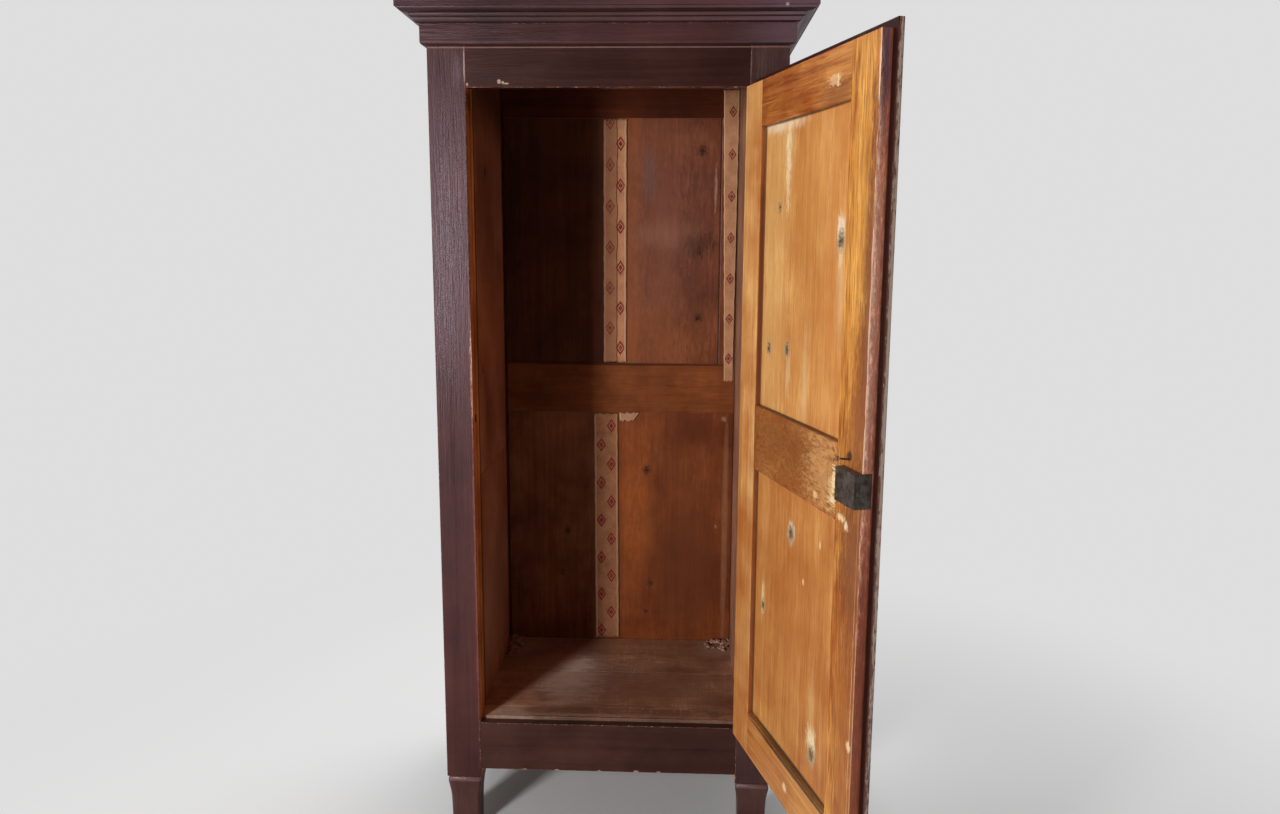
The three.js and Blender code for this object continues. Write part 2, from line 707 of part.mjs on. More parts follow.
// The keyhole and the nail go through the lock stile and the tenon inside it
const lockBores = [
  keyhole([skinFront - overrun, doorInnerFace + overrun]),
  pinAlongY(nailX, nailZ, nailRadius + fitGap, [doorInnerFace - nailDepth - fitGap, doorInnerFace + overrun]),
];
add(closedDoor, 'door_stile_hinge', makeStile('hinge'), 'doorWood');
add(closedDoor, 'door_stile_lock', makeStile('lock'), 'doorWood');
for (const rail of doorRails) {
  const xs = [stileInner.lock + fitGap, stileInner.hinge - fitGap];
  const parts = [block(xs, [skinFront, doorInnerFace], rail.zs)];
  if (rail.name === 'top') parts.push(block(xs, [skinFront, skinBack], [rail.zs[0], skinTop]));
  const cuts = doorFields.map((field) => block(grown(xs, overrun), grown(doorPanelYs, fitGap),
    grown(field.zs, grooveDepth)));
  const tenons = block(grown(xs, doorTenonLength), doorPanelYs, tenonZs(rail.zs));
  let solid = united(united(...parts).subtract(united(...cuts)), tenons);
  if (rail.name === 'lock') solid = solid.subtract(united(...lockBores));
  add(closedDoor, `door_${rail.name}_rail`, solid, 'doorWood');
}
for (const field of doorFields) {
  const reach = grooveDepth - groovePlay;
  const [front, back] = doorPanelYs;
  add(closedDoor, `door_panel_${field.name}`, fielded(
    grown([stileInner.lock, stileInner.hinge], reach), grown(field.zs, reach), [
      [front - doorFieldRise, doorFieldInset], [front, doorFieldInset - doorFieldRise], [front, 0], [back, 0],
    ]), 'doorWood');
}

// Hinges: a lower half on the post with the pin, an upper half on the door that turns on it
function finial(z, direction) {
  const points = [];
  for (let i = 0; i <= arcSteps; i++) {
    const angle = (i / arcSteps) * Math.PI;
    points.push([
      finialRadius * Math.sin(angle),
      z + direction * (finialRadius * (1 - Math.cos(angle)) - finialSink),
    ]);
  }
  return turned(pinX, pinY, points);
}

hingeZs.forEach((z, i) => {
  const place = i === 0 ? 'bottom' : 'top';
  const foot = z - knuckleLength;
  const head = z + knuckleLength;
  const caseHalf = united(
    turned(pinX, pinY, [[0, foot], [barrelRadius, foot], [barrelRadius, z], [0, z]]),
    turned(pinX, pinY, [[0, z - overrun], [pinRadius, z - overrun], [pinRadius, head - overrun], [0, head - overrun]]),
    block(caseBladeXs, caseBladeYs, caseBladeZs(z)),
    finial(foot, -1),
  );
  add(cabinet, `hinge_${place}_case_half`, caseHalf, 'iron');
  const doorHalf = united(
    turned(pinX, pinY, [[0, z + fitGap], [barrelRadius, z + fitGap], [barrelRadius, head], [0, head]]),
    block(doorBladeXs, doorBladeYs, doorBladeZs(z)),
    finial(head, 1),
  ).subtract(turned(pinX, pinY, [[0, z - overrun], [pinRadius + fitGap, z - overrun],
    [pinRadius + fitGap, head - overrun + fitGap], [0, head - overrun + fitGap]]));
  add(closedDoor, `hinge_${place}_door_half`, doorHalf, 'iron');
});

// Lock: an open-backed iron case on the inner face with a forend let into the door's edge, and
// a sliding bolt inside
const lockXs = [-bodyEdge + fitGap, -bodyEdge + lockLength];
const lockYs = [doorInnerFace + fitGap, doorInnerFace + lockThickness];
const lockZs = [lockCenterZ - lockHeight / 2, lockCenterZ + lockHeight / 2];
const forendXs = [-bodyEdge - rebateGap, -bodyEdge + forendThickness - fitGap];
const lockCase = united(
  block([forendXs[0], lockXs[1]], lockYs, lockZs),
  block(forendXs, [doorInnerFace - forendWidth, lockYs[1]], lockZs),
).subtract(united(
  block([-bodyEdge + forendThickness + lockWall, lockXs[1] - lockWall], [lockYs[0] - overrun, lockYs[1] - lockWall],
    grown(lockZs, -lockWall)),
  block([forendXs[0] - overrun, -bodyEdge + lockWall + overrun], grown(boltYs, fitGap), grown(boltZs, fitGap)),
));
add(closedDoor, 'lock_case', lockCase, 'iron');
const boltXs = [forendXs[0], forendXs[0] + boltLength];
add(closedDoor, 'lock_bolt', block(boltXs, boltYs, boltZs), 'iron');
const plateCenterX = -bodyEdge + keyholeFromEdge;
add(closedDoor, 'key_escutcheon', block([plateCenterX - plateWidth / 2, plateCenterX + plateWidth / 2],
  [skinFront - fitGap - plateThickness, skinFront - fitGap],
  [lockCenterZ - plateHeight / 2, lockCenterZ + plateHeight / 2])
  .subtract(keyhole([skinFront - plateThickness - overrun, skinFront + overrun])), 'iron');

// Nail driven in above the lock, bent upwards where it leaves the wood
function makeNail() {
  const rise = Math.tan(THREE.MathUtils.degToRad(nailTilt));
  const shank = [[0, 0], [nailRadius, 0], [nailRadius, nailLength],
    [nailHeadRadius, nailLength + nailHeadHeight * nailHeadRimShare],
    [nailHeadRadius * nailHeadCrownShare, nailLength + nailHeadHeight], [0, nailLength + nailHeadHeight]];
  const round = new THREE.LatheGeometry(shank.map((p) => new THREE.Vector2(...p)), roundSegments);
  const outside = solidOf(placed(round, (x, y, z) => [nailX + x, doorInnerFace + y, nailZ + z + y * rise]));
  const inside = pinAlongY(nailX, nailZ, nailRadius, [doorInnerFace - nailDepth, doorInnerFace + nailRadius / 2]);
  return united(outside, inside);
}
add(closedDoor, 'bent_nail', makeNail(), 'iron');

// The door swings open about the pins, towards the viewer
closedDoor.position.set(-pinX, -pinY, 0);
const swing = new THREE.Group();
swing.position.set(pinX, pinY, 0);
swing.rotation.z = THREE.MathUtils.degToRad(openAngle);
swing.add(closedDoor);
cabinet.add(swing);

// The origin is on the ground under the middle of the whole object
const bounds = new THREE.Box3().setFromObject(cabinet, true);
const middle = bounds.getCenter(new THREE.Vector3());
cabinet.position.set(-middle.x, -middle.y, -bounds.min.z);

export default cabinet;
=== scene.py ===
# One-door softwood cabinet (bonnetiere): the finish of every piece, with the light and the camera.
# Metres, +Z up. Patterns on the wood are worked out in millimetres, in the frame of the closed case.
import json
import math
from functools import partial

import bmesh
import bpy
from mathutils import Matrix, Vector, noise


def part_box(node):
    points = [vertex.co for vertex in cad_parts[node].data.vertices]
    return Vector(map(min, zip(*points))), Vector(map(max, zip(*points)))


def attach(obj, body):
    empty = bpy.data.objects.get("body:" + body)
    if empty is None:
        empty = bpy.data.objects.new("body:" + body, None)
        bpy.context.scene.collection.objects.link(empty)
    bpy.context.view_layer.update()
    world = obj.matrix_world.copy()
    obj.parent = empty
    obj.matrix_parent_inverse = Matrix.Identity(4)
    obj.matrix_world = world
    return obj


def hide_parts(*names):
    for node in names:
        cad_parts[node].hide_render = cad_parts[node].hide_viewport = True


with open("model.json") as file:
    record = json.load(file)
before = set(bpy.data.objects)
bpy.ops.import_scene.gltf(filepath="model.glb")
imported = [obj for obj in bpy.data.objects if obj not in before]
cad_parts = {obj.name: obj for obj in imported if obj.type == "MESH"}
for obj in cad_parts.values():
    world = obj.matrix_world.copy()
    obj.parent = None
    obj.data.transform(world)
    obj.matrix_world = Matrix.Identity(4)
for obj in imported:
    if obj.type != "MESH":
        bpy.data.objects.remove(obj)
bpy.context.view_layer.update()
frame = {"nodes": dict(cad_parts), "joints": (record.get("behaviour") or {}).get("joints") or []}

mm = 0.001
nodes = frame["nodes"]
doorOpenAngle = 106

# Camera: place in metres, turns in degrees, focal length in pixels of the photograph
cameraSettings = {
    "place": (0.1362, -2.2224, 1.4581), "pitch": 9.4146, "yaw": -2.232, "roll": 0.293,
    "focalPixels": 990.9, "imageWidth": 1280, "sensor": 36,
}

def makeCamera(s):
    pitch, yaw, roll = (math.radians(s[k]) for k in ("pitch", "yaw", "roll"))
    forward = Vector((math.sin(yaw) * math.cos(pitch), math.cos(yaw) * math.cos(pitch), -math.sin(pitch)))
    right = Vector((math.cos(yaw), -math.sin(yaw), 0))
    up = right.cross(forward)
    tiltedRight = math.cos(roll) * right + math.sin(roll) * up
    tiltedUp = math.cos(roll) * up - math.sin(roll) * right
    turn = Matrix((tiltedRight, tiltedUp, -forward)).transposed().to_4x4()
    data = bpy.data.cameras.new("camera")
    data.sensor_width = s["sensor"]
    data.lens = s["sensor"] * s["focalPixels"] / s["imageWidth"]
    camera = bpy.data.objects.new("camera", data)
    camera.matrix_world = Matrix.Translation(s["place"]) @ turn
    bpy.context.scene.collection.objects.link(camera)
    bpy.context.scene.camera = camera

makeCamera(cameraSettings)
bpy.context.scene.view_settings.view_transform = "Standard"
print("camera ready")

# Frames of the case and of the opened door: each turns a point of the closed cabinet,
# measured from the middle of its front at the floor, into its real place
leftPost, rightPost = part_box("post_front_left"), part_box("post_front_right")
caseOrigin = Vector(((leftPost[0].x + rightPost[1].x) / 2, leftPost[0].y, 0))
pinPlace = Vector(next(j for j in frame["joints"] if j["name"] == "door_swing")["pos_m"])
pinPlace.z = 0
caseFrame = Matrix.Translation(caseOrigin)
doorFrame = (Matrix.Translation(pinPlace) @ Matrix.Rotation(math.radians(doorOpenAngle), 4, "Z")
             @ Matrix.Translation(caseOrigin - pinPlace))

# Node helpers

def linear(hexColour):
    channels = [int(hexColour[i:i + 2], 16) / 255 for i in (1, 3, 5)]
    return [c / 12.92 if c <= 0.04045 else ((c + 0.055) / 1.055) ** 2.4 for c in channels] + [1]

# Adds a node, sets its properties, then sets or links its inputs; gives back its first output or the
# named ones. Settings may be the name of an operation. A list of inputs is in the order of the
# sockets, which for MapRange are the value, from min, from max, to min and to max.
def addNode(tree, kind, settings, inputs, out=None):
    node = tree.nodes.new("ShaderNode" + kind)
    for name, value in ({"operation": settings} if isinstance(settings, str) else settings).items():
        if name == "stops":
            elements = node.color_ramp.elements
            while len(elements) < len(value):
                elements.new(0.5)
            for element, (place, colour) in zip(elements, value):
                element.position = place
                element.color = linear(colour) if isinstance(colour, str) else [colour] * 3 + [1]
        else:
            setattr(node, name, value)
    for key, value in (enumerate(inputs) if isinstance(inputs, list) else inputs.items()):
        socket = node.inputs[key] if isinstance(key, int) else next(
            s for s in node.inputs if s.enabled and s.name == key)
        if isinstance(value, bpy.types.NodeSocket):
            tree.links.new(value, socket)
        else:
            socket.default_value = linear(value) if isinstance(value, str) else value
    if isinstance(out, tuple):
        return [node.outputs[name] for name in out]
    return node.outputs[out] if out else next((s for s in node.outputs if s.enabled), None)

# Empties the nodes of a material or of the world, and gives back addNode for them.
def freshNodes(owner):
    owner.use_nodes = True
    owner.node_tree.nodes.clear()
    return partial(addNode, owner.node_tree)

def newGroup(name, inputs, outputs):
    tree = bpy.data.node_groups.new(name, "ShaderNodeTree")
    for label, kind in inputs.items():
        tree.interface.new_socket(name=label, in_out="INPUT", socket_type="NodeSocket" + kind)
    for label in outputs:
        tree.interface.new_socket(name=label, in_out="OUTPUT", socket_type="NodeSocketFloat")
    given = tree.nodes.new("NodeGroupInput").outputs
    wanted = tree.nodes.new("NodeGroupOutput").inputs
    return tree, partial(addNode, tree), given, wanted

eased = {"interpolation_type": "SMOOTHSTEP"}
covering = {"data_type": "RGBA", "blend_type": "MIX"}
darkening = {"data_type": "RGBA", "blend_type": "MULTIPLY"}

# A noise that pushes points about, with its size and its reach in millimetres.
def noisePush(add, point, sizeMm, detail, roughness, reachMm):
    push = add("TexNoise", {}, {"Vector": point, "Scale": 1 / sizeMm, "Detail": detail,
                                "Roughness": roughness}, "Color")
    push = add("VectorMath", "SUBTRACT", [push, (0.5, 0.5, 0.5)])
    return add("VectorMath", "MULTIPLY", [push, reachMm])

# Pine whose grain runs along Z, in millimetres: growth rings that wobble slowly, and figures that
# are each a noise with its size, its rate along the grain, its detail and its roughness
grainSettings = {
    "wobbleMm": 55, "wobbleRate": 0.07, "swayMm": (34, 34, 0),
    "ringProfile": [(0, 0), (0.45, 0.12), (0.8, 0.85), (0.9, 1), (1, 0)],
    "figures": {"Streak": (17, 0.025, 4, 0.62), "Fibre": (2.2, 0.02, 3, 0.7), "Dash": (5, 0.07, 3, 0.6),
                "Cloud": (160, 1, 5, 0.6)},
}

# Bend moves the rings aside, as a knot does.
def makeGrainGroup(s):
    tree, add, given, wanted = newGroup("pineGrain", {
        "Vector": "Vector", "Shift": "Vector", "Bend": "Float", "Ring": "Float"}, ("Ring", *s["figures"]))
    slow = add("VectorMath", "MULTIPLY", [given["Vector"], (1, 1, s["wobbleRate"])])
    slow = add("VectorMath", "ADD", [slow, given["Shift"]])
    wobble = noisePush(add, slow, s["wobbleMm"], 3, 0.5, s["swayMm"])
    bent = add("VectorMath", "ADD", [given["Vector"], wobble])
    bent = add("VectorMath", "ADD", [bent, given["Shift"]])
    flat = add("VectorMath", "MULTIPLY", [bent, (1, 1, 0)])
    radius = add("VectorMath", "LENGTH", [flat], "Value")
    radius = add("Math", "ADD", [radius, given["Bend"]])
    count = add("Math", "DIVIDE", [radius, given["Ring"]])
    phase = add("Math", "FRACT", [count])
    tree.links.new(add("ValToRGB", {"stops": s["ringProfile"]}, [phase]), wanted["Ring"])
    for label, (sizeMm, rate, detail, roughness) in s["figures"].items():
        drawn = add("VectorMath", "MULTIPLY", [bent, (1, 1, rate)])
        figure = add("TexNoise", {}, {"Vector": drawn, "Scale": 1 / sizeMm, "Detail": detail,
                                      "Roughness": roughness})
        tree.links.new(figure, wanted[label])
    return tree

# A knot: its dark core, its rim and the pale wood round it are ragged ovals drawn out along the
# grain, each with its squash and the distances in radii where it ends and where it is full
knotSettings = {
    "raggedMm": 6, "raggedReachMm": (26, 26, 56), "mottleMm": 4, "mottle": (0.38, 0.58, 0.35, 1),
    "zones": {"Core": ((1, 1, 0.85), 1.15, 0.55), "Rim": ((1, 1, 0.85), 2, 1),
              "Halo": ((0.6, 0.6, 0.45), 1.1, 0.55)},
    "bendSquash": (0.45, 0.45, 0.16), "bendRadii": 2.4,
}

def makeKnotGroup(s):
    tree, add, given, wanted = newGroup("pineKnot", {
        "Vector": "Vector", "Place": "Vector", "Radius": "Float"}, ("Bend", *s["zones"]))
    rough = noisePush(add, given["Vector"], s["raggedMm"], 5, 0.65, s["raggedReachMm"])
    away = add("VectorMath", "SUBTRACT", [given["Vector"], given["Place"]])
    wild = add("VectorMath", "ADD", [away, rough])
    size = add("CombineXYZ", {}, [given["Radius"]] * 3)
    near = add("VectorMath", "DIVIDE", [wild, size])
    mottle = add("TexNoise", {}, {"Vector": given["Vector"], "Scale": 1 / s["mottleMm"], "Detail": 4,
                                  "Roughness": 0.7})
    mottle = add("MapRange", {}, [mottle, *s["mottle"]])
    for label, (squash, outside, inside) in s["zones"].items():
        oval = add("VectorMath", "MULTIPLY", [near, squash])
        out = add("VectorMath", "LENGTH", [oval], "Value")
        zone = add("MapRange", eased, [out, outside, inside])
        if label == "Core":
            zone = add("Math", "MULTIPLY", [zone, mottle])
        tree.links.new(zone, wanted[label])
    near = add("VectorMath", "DIVIDE", [away, size])
    oval = add("VectorMath", "MULTIPLY", [near, s["bendSquash"]])
    out = add("VectorMath", "DOT_PRODUCT", [oval, oval], "Value")
    fall = add("Math", "MULTIPLY", [out, -1])
    fall = add("Math", "EXPONENT", [fall])
    bend = add("Math", "MULTIPLY", [fall, given["Radius"]])
    tree.links.new(add("Math", "MULTIPLY", [bend, s["bendRadii"]]), wanted["Bend"])
    return tree

# A ragged oval patch, 1 inside and 0 outside, frayed along the grain by grit and by fine hairs
patchSettings = {"gritRate": 0.3, "hairMm": 3, "hairRate": 0.06, "hairShare": 0.6, "middle": 0.8}

def makePatchGroup(s):
    tree, add, given, wanted = newGroup("raggedPatch", {
        "Vector": "Vector", "Place": "Vector", "Half": "Vector",
        "Soft": "Float", "Ragged": "Float", "Grit": "Float"}, ("Mask",))
    away = add("VectorMath", "SUBTRACT", [given["Vector"], given["Place"]])
    near = add("VectorMath", "DIVIDE", [away, given["Half"]])
    out = add("VectorMath", "LENGTH", [near], "Value")
    slow = add("VectorMath", "MULTIPLY", [given["Vector"], (1, 1, s["gritRate"])])
    grit = add("Math", "DIVIDE", [1, given["Grit"]])
    rough = add("TexNoise", {}, {"Vector": slow, "Scale": grit, "Detail": 5, "Roughness": 0.75})
    hair = add("VectorMath", "MULTIPLY", [given["Vector"], (1, 1, s["hairRate"])])
    hair = add("TexNoise", {}, {"Vector": hair, "Scale": 1 / s["hairMm"], "Detail": 3, "Roughness": 0.7})
    rough = add("Math", "MULTIPLY_ADD", [hair, s["hairShare"], rough])
    rough = add("Math", "SUBTRACT", [rough, s["middle"]])
    out = add("Math", "MULTIPLY_ADD", [rough, given["Ragged"], out])
    low = add("Math", "SUBTRACT", [1, given["Soft"]])
    high = add("Math", "ADD", [1, given["Soft"]])
    tree.links.new(add("MapRange", eased, [out, high, low]), wanted["Mask"])
    return tree

grainGroup = {"node_tree": makeGrainGroup(grainSettings)}
knotGroup = {"node_tree": makeKnotGroup(knotSettings)}
patchGroup = {"node_tree": makePatchGroup(patchSettings)}

# Turns that bring the grain of a board onto Z
grainTurns = {
    "up": Matrix.Identity(3),
    "across": Matrix.Rotation(math.radians(-90), 3, "Y"),
    "deep": Matrix.Rotation(math.radians(90), 3, "X"),
}

# Starts a material and gives its point in millimetres in the closed frame, turned so that the
# grain runs along Z.
def startMaterial(name, place, grain):
    material = bpy.data.materials.new(name)
    add = freshNodes(material)
    point = add("TexCoord", {}, {}, "Object")
    local = add("Mapping", {"vector_type": "TEXTURE"}, [point, place.translation, place.to_euler(),
                                                        (mm, mm, mm)])
    along = add("Mapping", {"vector_type": "POINT"}, {
        "Vector": local, "Rotation": grainTurns[grain].to_euler()})
    return material, add, along

def finishMaterial(add, colour, roughness, height, look):
    bump = add("Bump", {}, {"Height": height, "Strength": look["bump"], "Distance": look["bumpMm"] * mm})
    surface = add("BsdfPrincipled", {}, {"Base Color": colour, "Roughness": roughness, "Normal": bump,
                                         **look["shader"]})
    add("OutputMaterial", {}, [surface])

# Lays a tone over a colour, as far as the mask and the share say.
def laid(add, colour, mask, tone, share=1):
    mask = add("Math", "MULTIPLY", [mask, share])
    return add("Mix", covering, {"Factor": mask, "A": colour, "B": tone})

# Deepens a colour with a tone, by a share, where the figure lies low.
def deepened(add, colour, figure, low, high, tone, share):
    tint = add("ValToRGB", {"stops": [(low, tone), (high, "#ffffff")]}, [figure])
    return add("Mix", darkening, {"Factor": share, "A": colour, "B": tint})

# Lays ragged patches of other colours over a colour: wear, dirt, sapwood, stains. A patch is its place,
# its half size, its colour and, where they aren't the usual ones, its strength, raggedness, grit and
# softness. A short patch has two numbers for its place and two for its half size, and lies on the
# face: an axis, the place along it and the half depth there. Knots lie there too.
patchDefaults = (0.8, 1.6, None, 0.45)
frontFace = (1, 0, 40)  # the front of the case

def laidPatches(add, colour, along, grain, face, patches):
    axis, place, halfDepth = face
    for patch in patches:
        if isinstance(patch[0], tuple):
            at, half, tone, *rest = patch
        else:
            at, half, (tone, *rest) = list(patch[:2]), list(patch[2:4]), patch[4:]
            at.insert(axis, place)
            half.insert(axis, halfDepth)
        strength, ragged, grit, soft = (*rest, *patchDefaults[len(rest):])
        grit = grit or max(4, 0.5 * min(half[0], half[2]))
        turned = grainTurns[grain] @ Vector(at)
        turnedHalf = [abs(v) for v in grainTurns[grain] @ Vector(half)]
        mask = add("Group", patchGroup, [along, turned, turnedHalf, soft, ragged, grit])
        colour = laid(add, colour, mask, tone, strength)
    return colour

# Roughness that rubbing adds to the rounded arrises
arrisDullness = 0.35

# Old varnished pine: the varnish deepens the streaks and leaves a satin skin over the fibres.
def pine(name, look, grain, shift, knots=(), patches=(), face=frontFace, place=caseFrame):
    material, add, along = startMaterial(name, place, grain)
    bend = 0
    found = []
    for *at, radius in knots:
        at.insert(*face[:2])
        push, *zones = add("Group", knotGroup, [along, grainTurns[grain] @ Vector(at), radius],
                           ("Bend", "Halo", "Rim", "Core"))
        bend = add("Math", "ADD", [bend, push])
        found.append(zones)
    figured = along
    if "curlMm" in look:
        curl = noisePush(add, along, look["curlMm"], 1, 0.5, look["curlReachMm"])
        figured = add("VectorMath", "ADD", [along, curl])
    ring, streak, fibre, cloud, dash = add("Group", grainGroup, [figured, shift, bend, look["ringMm"]],
                                           ("Ring", "Streak", "Fibre", "Cloud", "Dash"))
    tones = [(0.3, look["pale"]), (0.5, look["mid"]), (0.7, look["deep"])]
    colour = add("ValToRGB", {"stops": tones}, [streak])
    colour = deepened(add, colour, cloud, 0.35, 0.65, look["stain"], look["stainShare"])
    colour = laid(add, colour, ring, look["late"], look["lateShare"])
    colour = deepened(add, colour, dash, 0.36, 0.56, look["hair"], look["dashShare"])
    colour = deepened(add, colour, fibre, 0.35, 0.6, look["hair"], look["hairShare"])
    for halo, rim, core in found:
        colour = laid(add, colour, halo, look["halo"], look["haloShare"])
    colour = laidPatches(add, colour, along, grain, face, patches)
    for halo, rim, core in found:
        colour = laid(add, colour, rim, look["rim"], look["rimShare"])
        colour = laid(add, colour, core, look["core"])
    if "scratch" in look:
        across = add("VectorMath", "MULTIPLY", [along, (1, 0.05, 0.8)])
        across = add("TexNoise", {}, {"Vector": across, "Scale": 1 / look["scratchMm"], "Detail": 4,
                                      "Roughness": 0.8, "Distortion": 0.4})
        across = add("MapRange", {}, [across, 0.54, 0.72, 0, look["scratchShare"]])
        patchy = add("MapRange", {}, [cloud, 0.42, 0.6])
        across = add("Math", "MULTIPLY", [across, patchy])
        colour = laid(add, colour, across, look["scratch"])
    height = add("Math", "MULTIPLY_ADD", [ring, 0.5, fibre])
    gloss = add("MapRange", {}, [cloud, 0.3, 0.7, look["smooth"], look["rough"]])
    edge = add("Attribute", {"attribute_name": "wear"}, {}, "Fac")
    gloss = add("Math", "MULTIPLY_ADD", [edge, arrisDullness, gloss])
    finishMaterial(add, colour, gloss, height, look)
    return material

# Pine under shellac inside the door, under dark varnish inside the case, and raw where nobody looks
doorLook = {
    "pale": "#eab670", "mid": "#dfa258", "deep": "#cd8841", "late": "#b27434", "lateShare": 0.25,
    "stain": "#c07c42", "stainShare": 0.8, "hair": "#b98250", "hairShare": 0.35, "dashShare": 0.3,
    "halo": "#e6d2aa", "haloShare": 0.8, "rim": "#8a6a48", "rimShare": 0.6, "core": "#2c211c",
    "ringMm": 6.5, "smooth": 0.38, "rough": 0.52, "bumpMm": 0.35, "bump": 0.35, "shader": {"IOR": 1.5},
}
insideLook = {
    "pale": "#8b4a26", "mid": "#834422", "deep": "#7a3e20", "late": "#6a3418", "lateShare": 0.08,
    "stain": "#94705c", "stainShare": 0.7, "hair": "#b08468", "hairShare": 0.2, "dashShare": 0.25,
    "halo": "#8a5a3c", "haloShare": 0.3, "rim": "#3a1c10", "rimShare": 0.6, "core": "#140a06",
    "ringMm": 9, "smooth": 0.5, "rough": 0.65, "bumpMm": 0.4, "bump": 0.4,
    "shader": {"IOR": 1.5, "Specular IOR Level": 0.14, "Specular Tint": (1, 0.82, 0.6, 1)},
}
rawLook = {
    "pale": "#a98a68", "mid": "#93714f", "deep": "#7a5a3e", "late": "#6a4a30", "lateShare": 0.45,
    "stain": "#8a7460", "stainShare": 0.7, "hair": "#8f7458", "hairShare": 0.5, "dashShare": 0.3,
    "halo": "#a3835e", "haloShare": 0.4, "rim": "#54392a", "rimShare": 0.5, "core": "#2c1c14",
    "ringMm": 5.5, "smooth": 0.75, "rough": 0.9, "bumpMm": 0.6, "bump": 0.6, "shader": {"IOR": 1.45},
}

# Oxblood oil paint on softwood, brushed on and varnished long ago: dark red-brown with a lilac
# shine on the brush marks, rubbed to red wood and chipped to cream along the edges.
paintLook = {
    "dark": "#371b17", "mid": "#44231d", "light": "#512b25", "rubbed": "#8c4f3c", "chipped": "#dcc0ac",
    "smooth": 0.26, "rough": 0.4, "bumpMm": 0.6, "bump": 0.8, "dash": 2,
    "film": "#c0b0ac", "wear": {"rubbed": (22, 0.42, 0.6), "chipped": (7, 0.56, 0.62)},
    "shader": {"IOR": 1.5, "Specular IOR Level": 0.26, "Specular Tint": (1, 0.85, 1, 1)},
}

def paint(name, look, grain, shift, patches=(), wearShare=0.5, face=frontFace, place=caseFrame):
    material, add, along = startMaterial(name, place, grain)
    streak, fibre, cloud, dash = add("Group", grainGroup, {"Vector": along, "Shift": shift},
                                     ("Streak", "Fibre", "Cloud", "Dash"))
    tones = [(0.3, look["dark"]), (0.5, look["mid"]), (0.72, look["light"])]
    colour = add("ValToRGB", {"stops": tones}, [cloud])
    colour = deepened(add, colour, streak, 0.3, 0.62, look["film"], 0.5)
    colour = laidPatches(add, colour, along, grain, face, patches)
    edge = add("Attribute", {"attribute_name": "wear"}, {}, "Fac")
    for tone, (sizeMm, low, high) in look["wear"].items():
        spots = add("TexNoise", {}, {"Vector": along, "Scale": 1 / sizeMm, "Detail": 5, "Roughness": 0.7})
        spots = add("MapRange", eased, [spots, low, high, 0, wearShare])
        spots = add("Math", "MULTIPLY", [edge, spots])
        colour = laid(add, colour, spots, look[tone])
    height = add("Math", "MULTIPLY_ADD", [dash, look["dash"], fibre])
    height = add("Math", "MULTIPLY_ADD", [streak, 0.8, height])
    gloss = add("MapRange", {}, [streak, 0.3, 0.7, look["smooth"], look["rough"]])
    gloss = add("Math", "MULTIPLY_ADD", [edge, arrisDullness, gloss])
    finishMaterial(add, colour, gloss, height, look)
    return material

# Wrought iron, blackened by fire and handling, with brown rust in the pits.
ironLook = {
    "black": "#403a36", "grey": "#6c6058", "rust": "#553a2d", "rustShare": 0.7, "blotchMm": 14, "pitMm": 2.5,
    "grainMm": 0.6, "smooth": 0.42, "rough": 0.62, "bumpMm": 0.3, "bump": 0.5, "shader": {"Metallic": 0.75},
}

def iron(name, look, place):
    material, add, along = startMaterial(name, place, "up")
    blotch = add("TexNoise", {}, {"Vector": along, "Scale": 1 / look["blotchMm"], "Detail": 5,
                                  "Roughness": 0.65})
    colour = add("ValToRGB", {"stops": [(0.35, look["black"]), (0.62, look["grey"])]}, [blotch])
    pit = add("TexNoise", {}, {"Vector": along, "Scale": 1 / look["pitMm"], "Detail": 4})
    rust = add("MapRange", eased, [pit, 0.55, 0.7, 0, look["rustShare"]])
    colour = laid(add, colour, rust, look["rust"])
    fine = add("TexNoise", {}, {"Vector": along, "Scale": 1 / look["grainMm"], "Detail": 2})
    height = add("Math", "MULTIPLY_ADD", [pit, 1.5, fine])
    gloss = add("MapRange", {}, [blotch, 0.3, 0.7, look["smooth"], look["rough"]])
    finishMaterial(add, colour, gloss, height, look)
    return material

# Pieces made from the CAD solids

# Gives a piece to the scene: on its body, with its slot, standing for its CAD nodes.
def settle(name, bm, body, materials, replaced=()):
    mesh = bpy.data.meshes.new(name)
    bm.to_mesh(mesh)
    bm.free()
    for material in materials:
        mesh.materials.append(material)
    piece = bpy.data.objects.new(name, mesh)
    bpy.context.scene.collection.objects.link(piece)
    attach(piece, body)
    if replaced:
        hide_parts(*replaced)

copySettings = {"mergeMm": 0.01, "flatDegrees": 0.3}

# A merged copy of a CAD node, in its closed frame, with its flat faces whole again.
def copyOf(node, place):
    s = copySettings
    bm = bmesh.new()
    bm.from_mesh(nodes[node].data)
    bmesh.ops.remove_doubles(bm, verts=bm.verts, dist=s["mergeMm"] * mm)
    bmesh.ops.dissolve_limit(bm, angle_limit=math.radians(s["flatDegrees"]), verts=bm.verts, edges=bm.edges)
    bmesh.ops.transform(bm, matrix=place.inverted(), verts=bm.verts)
    return bm

def boxOf(bm):
    return [(min(v.co[axis] for v in bm.verts), max(v.co[axis] for v in bm.verts)) for axis in range(3)]

# Rounding of the arrises by the kind of piece. An arris is longer and turns more than this, and lies
# this near to two of the planes that bound its piece; edges that turn more than sharpTurn stay sharp
easeMm = {
    "frontPost": 2.2, "rearPost": 1.6, "frontRail": 1.6, "sideRail": 1.2, "panel": 0.6, "cornice": 0.8,
    "inside": 0.5, "door": 1.3, "iron": 0.6,
}
arris = {"longerMm": 12, "turn": 0.3, "nearMm": 0.02, "sharpTurn": 0.7}

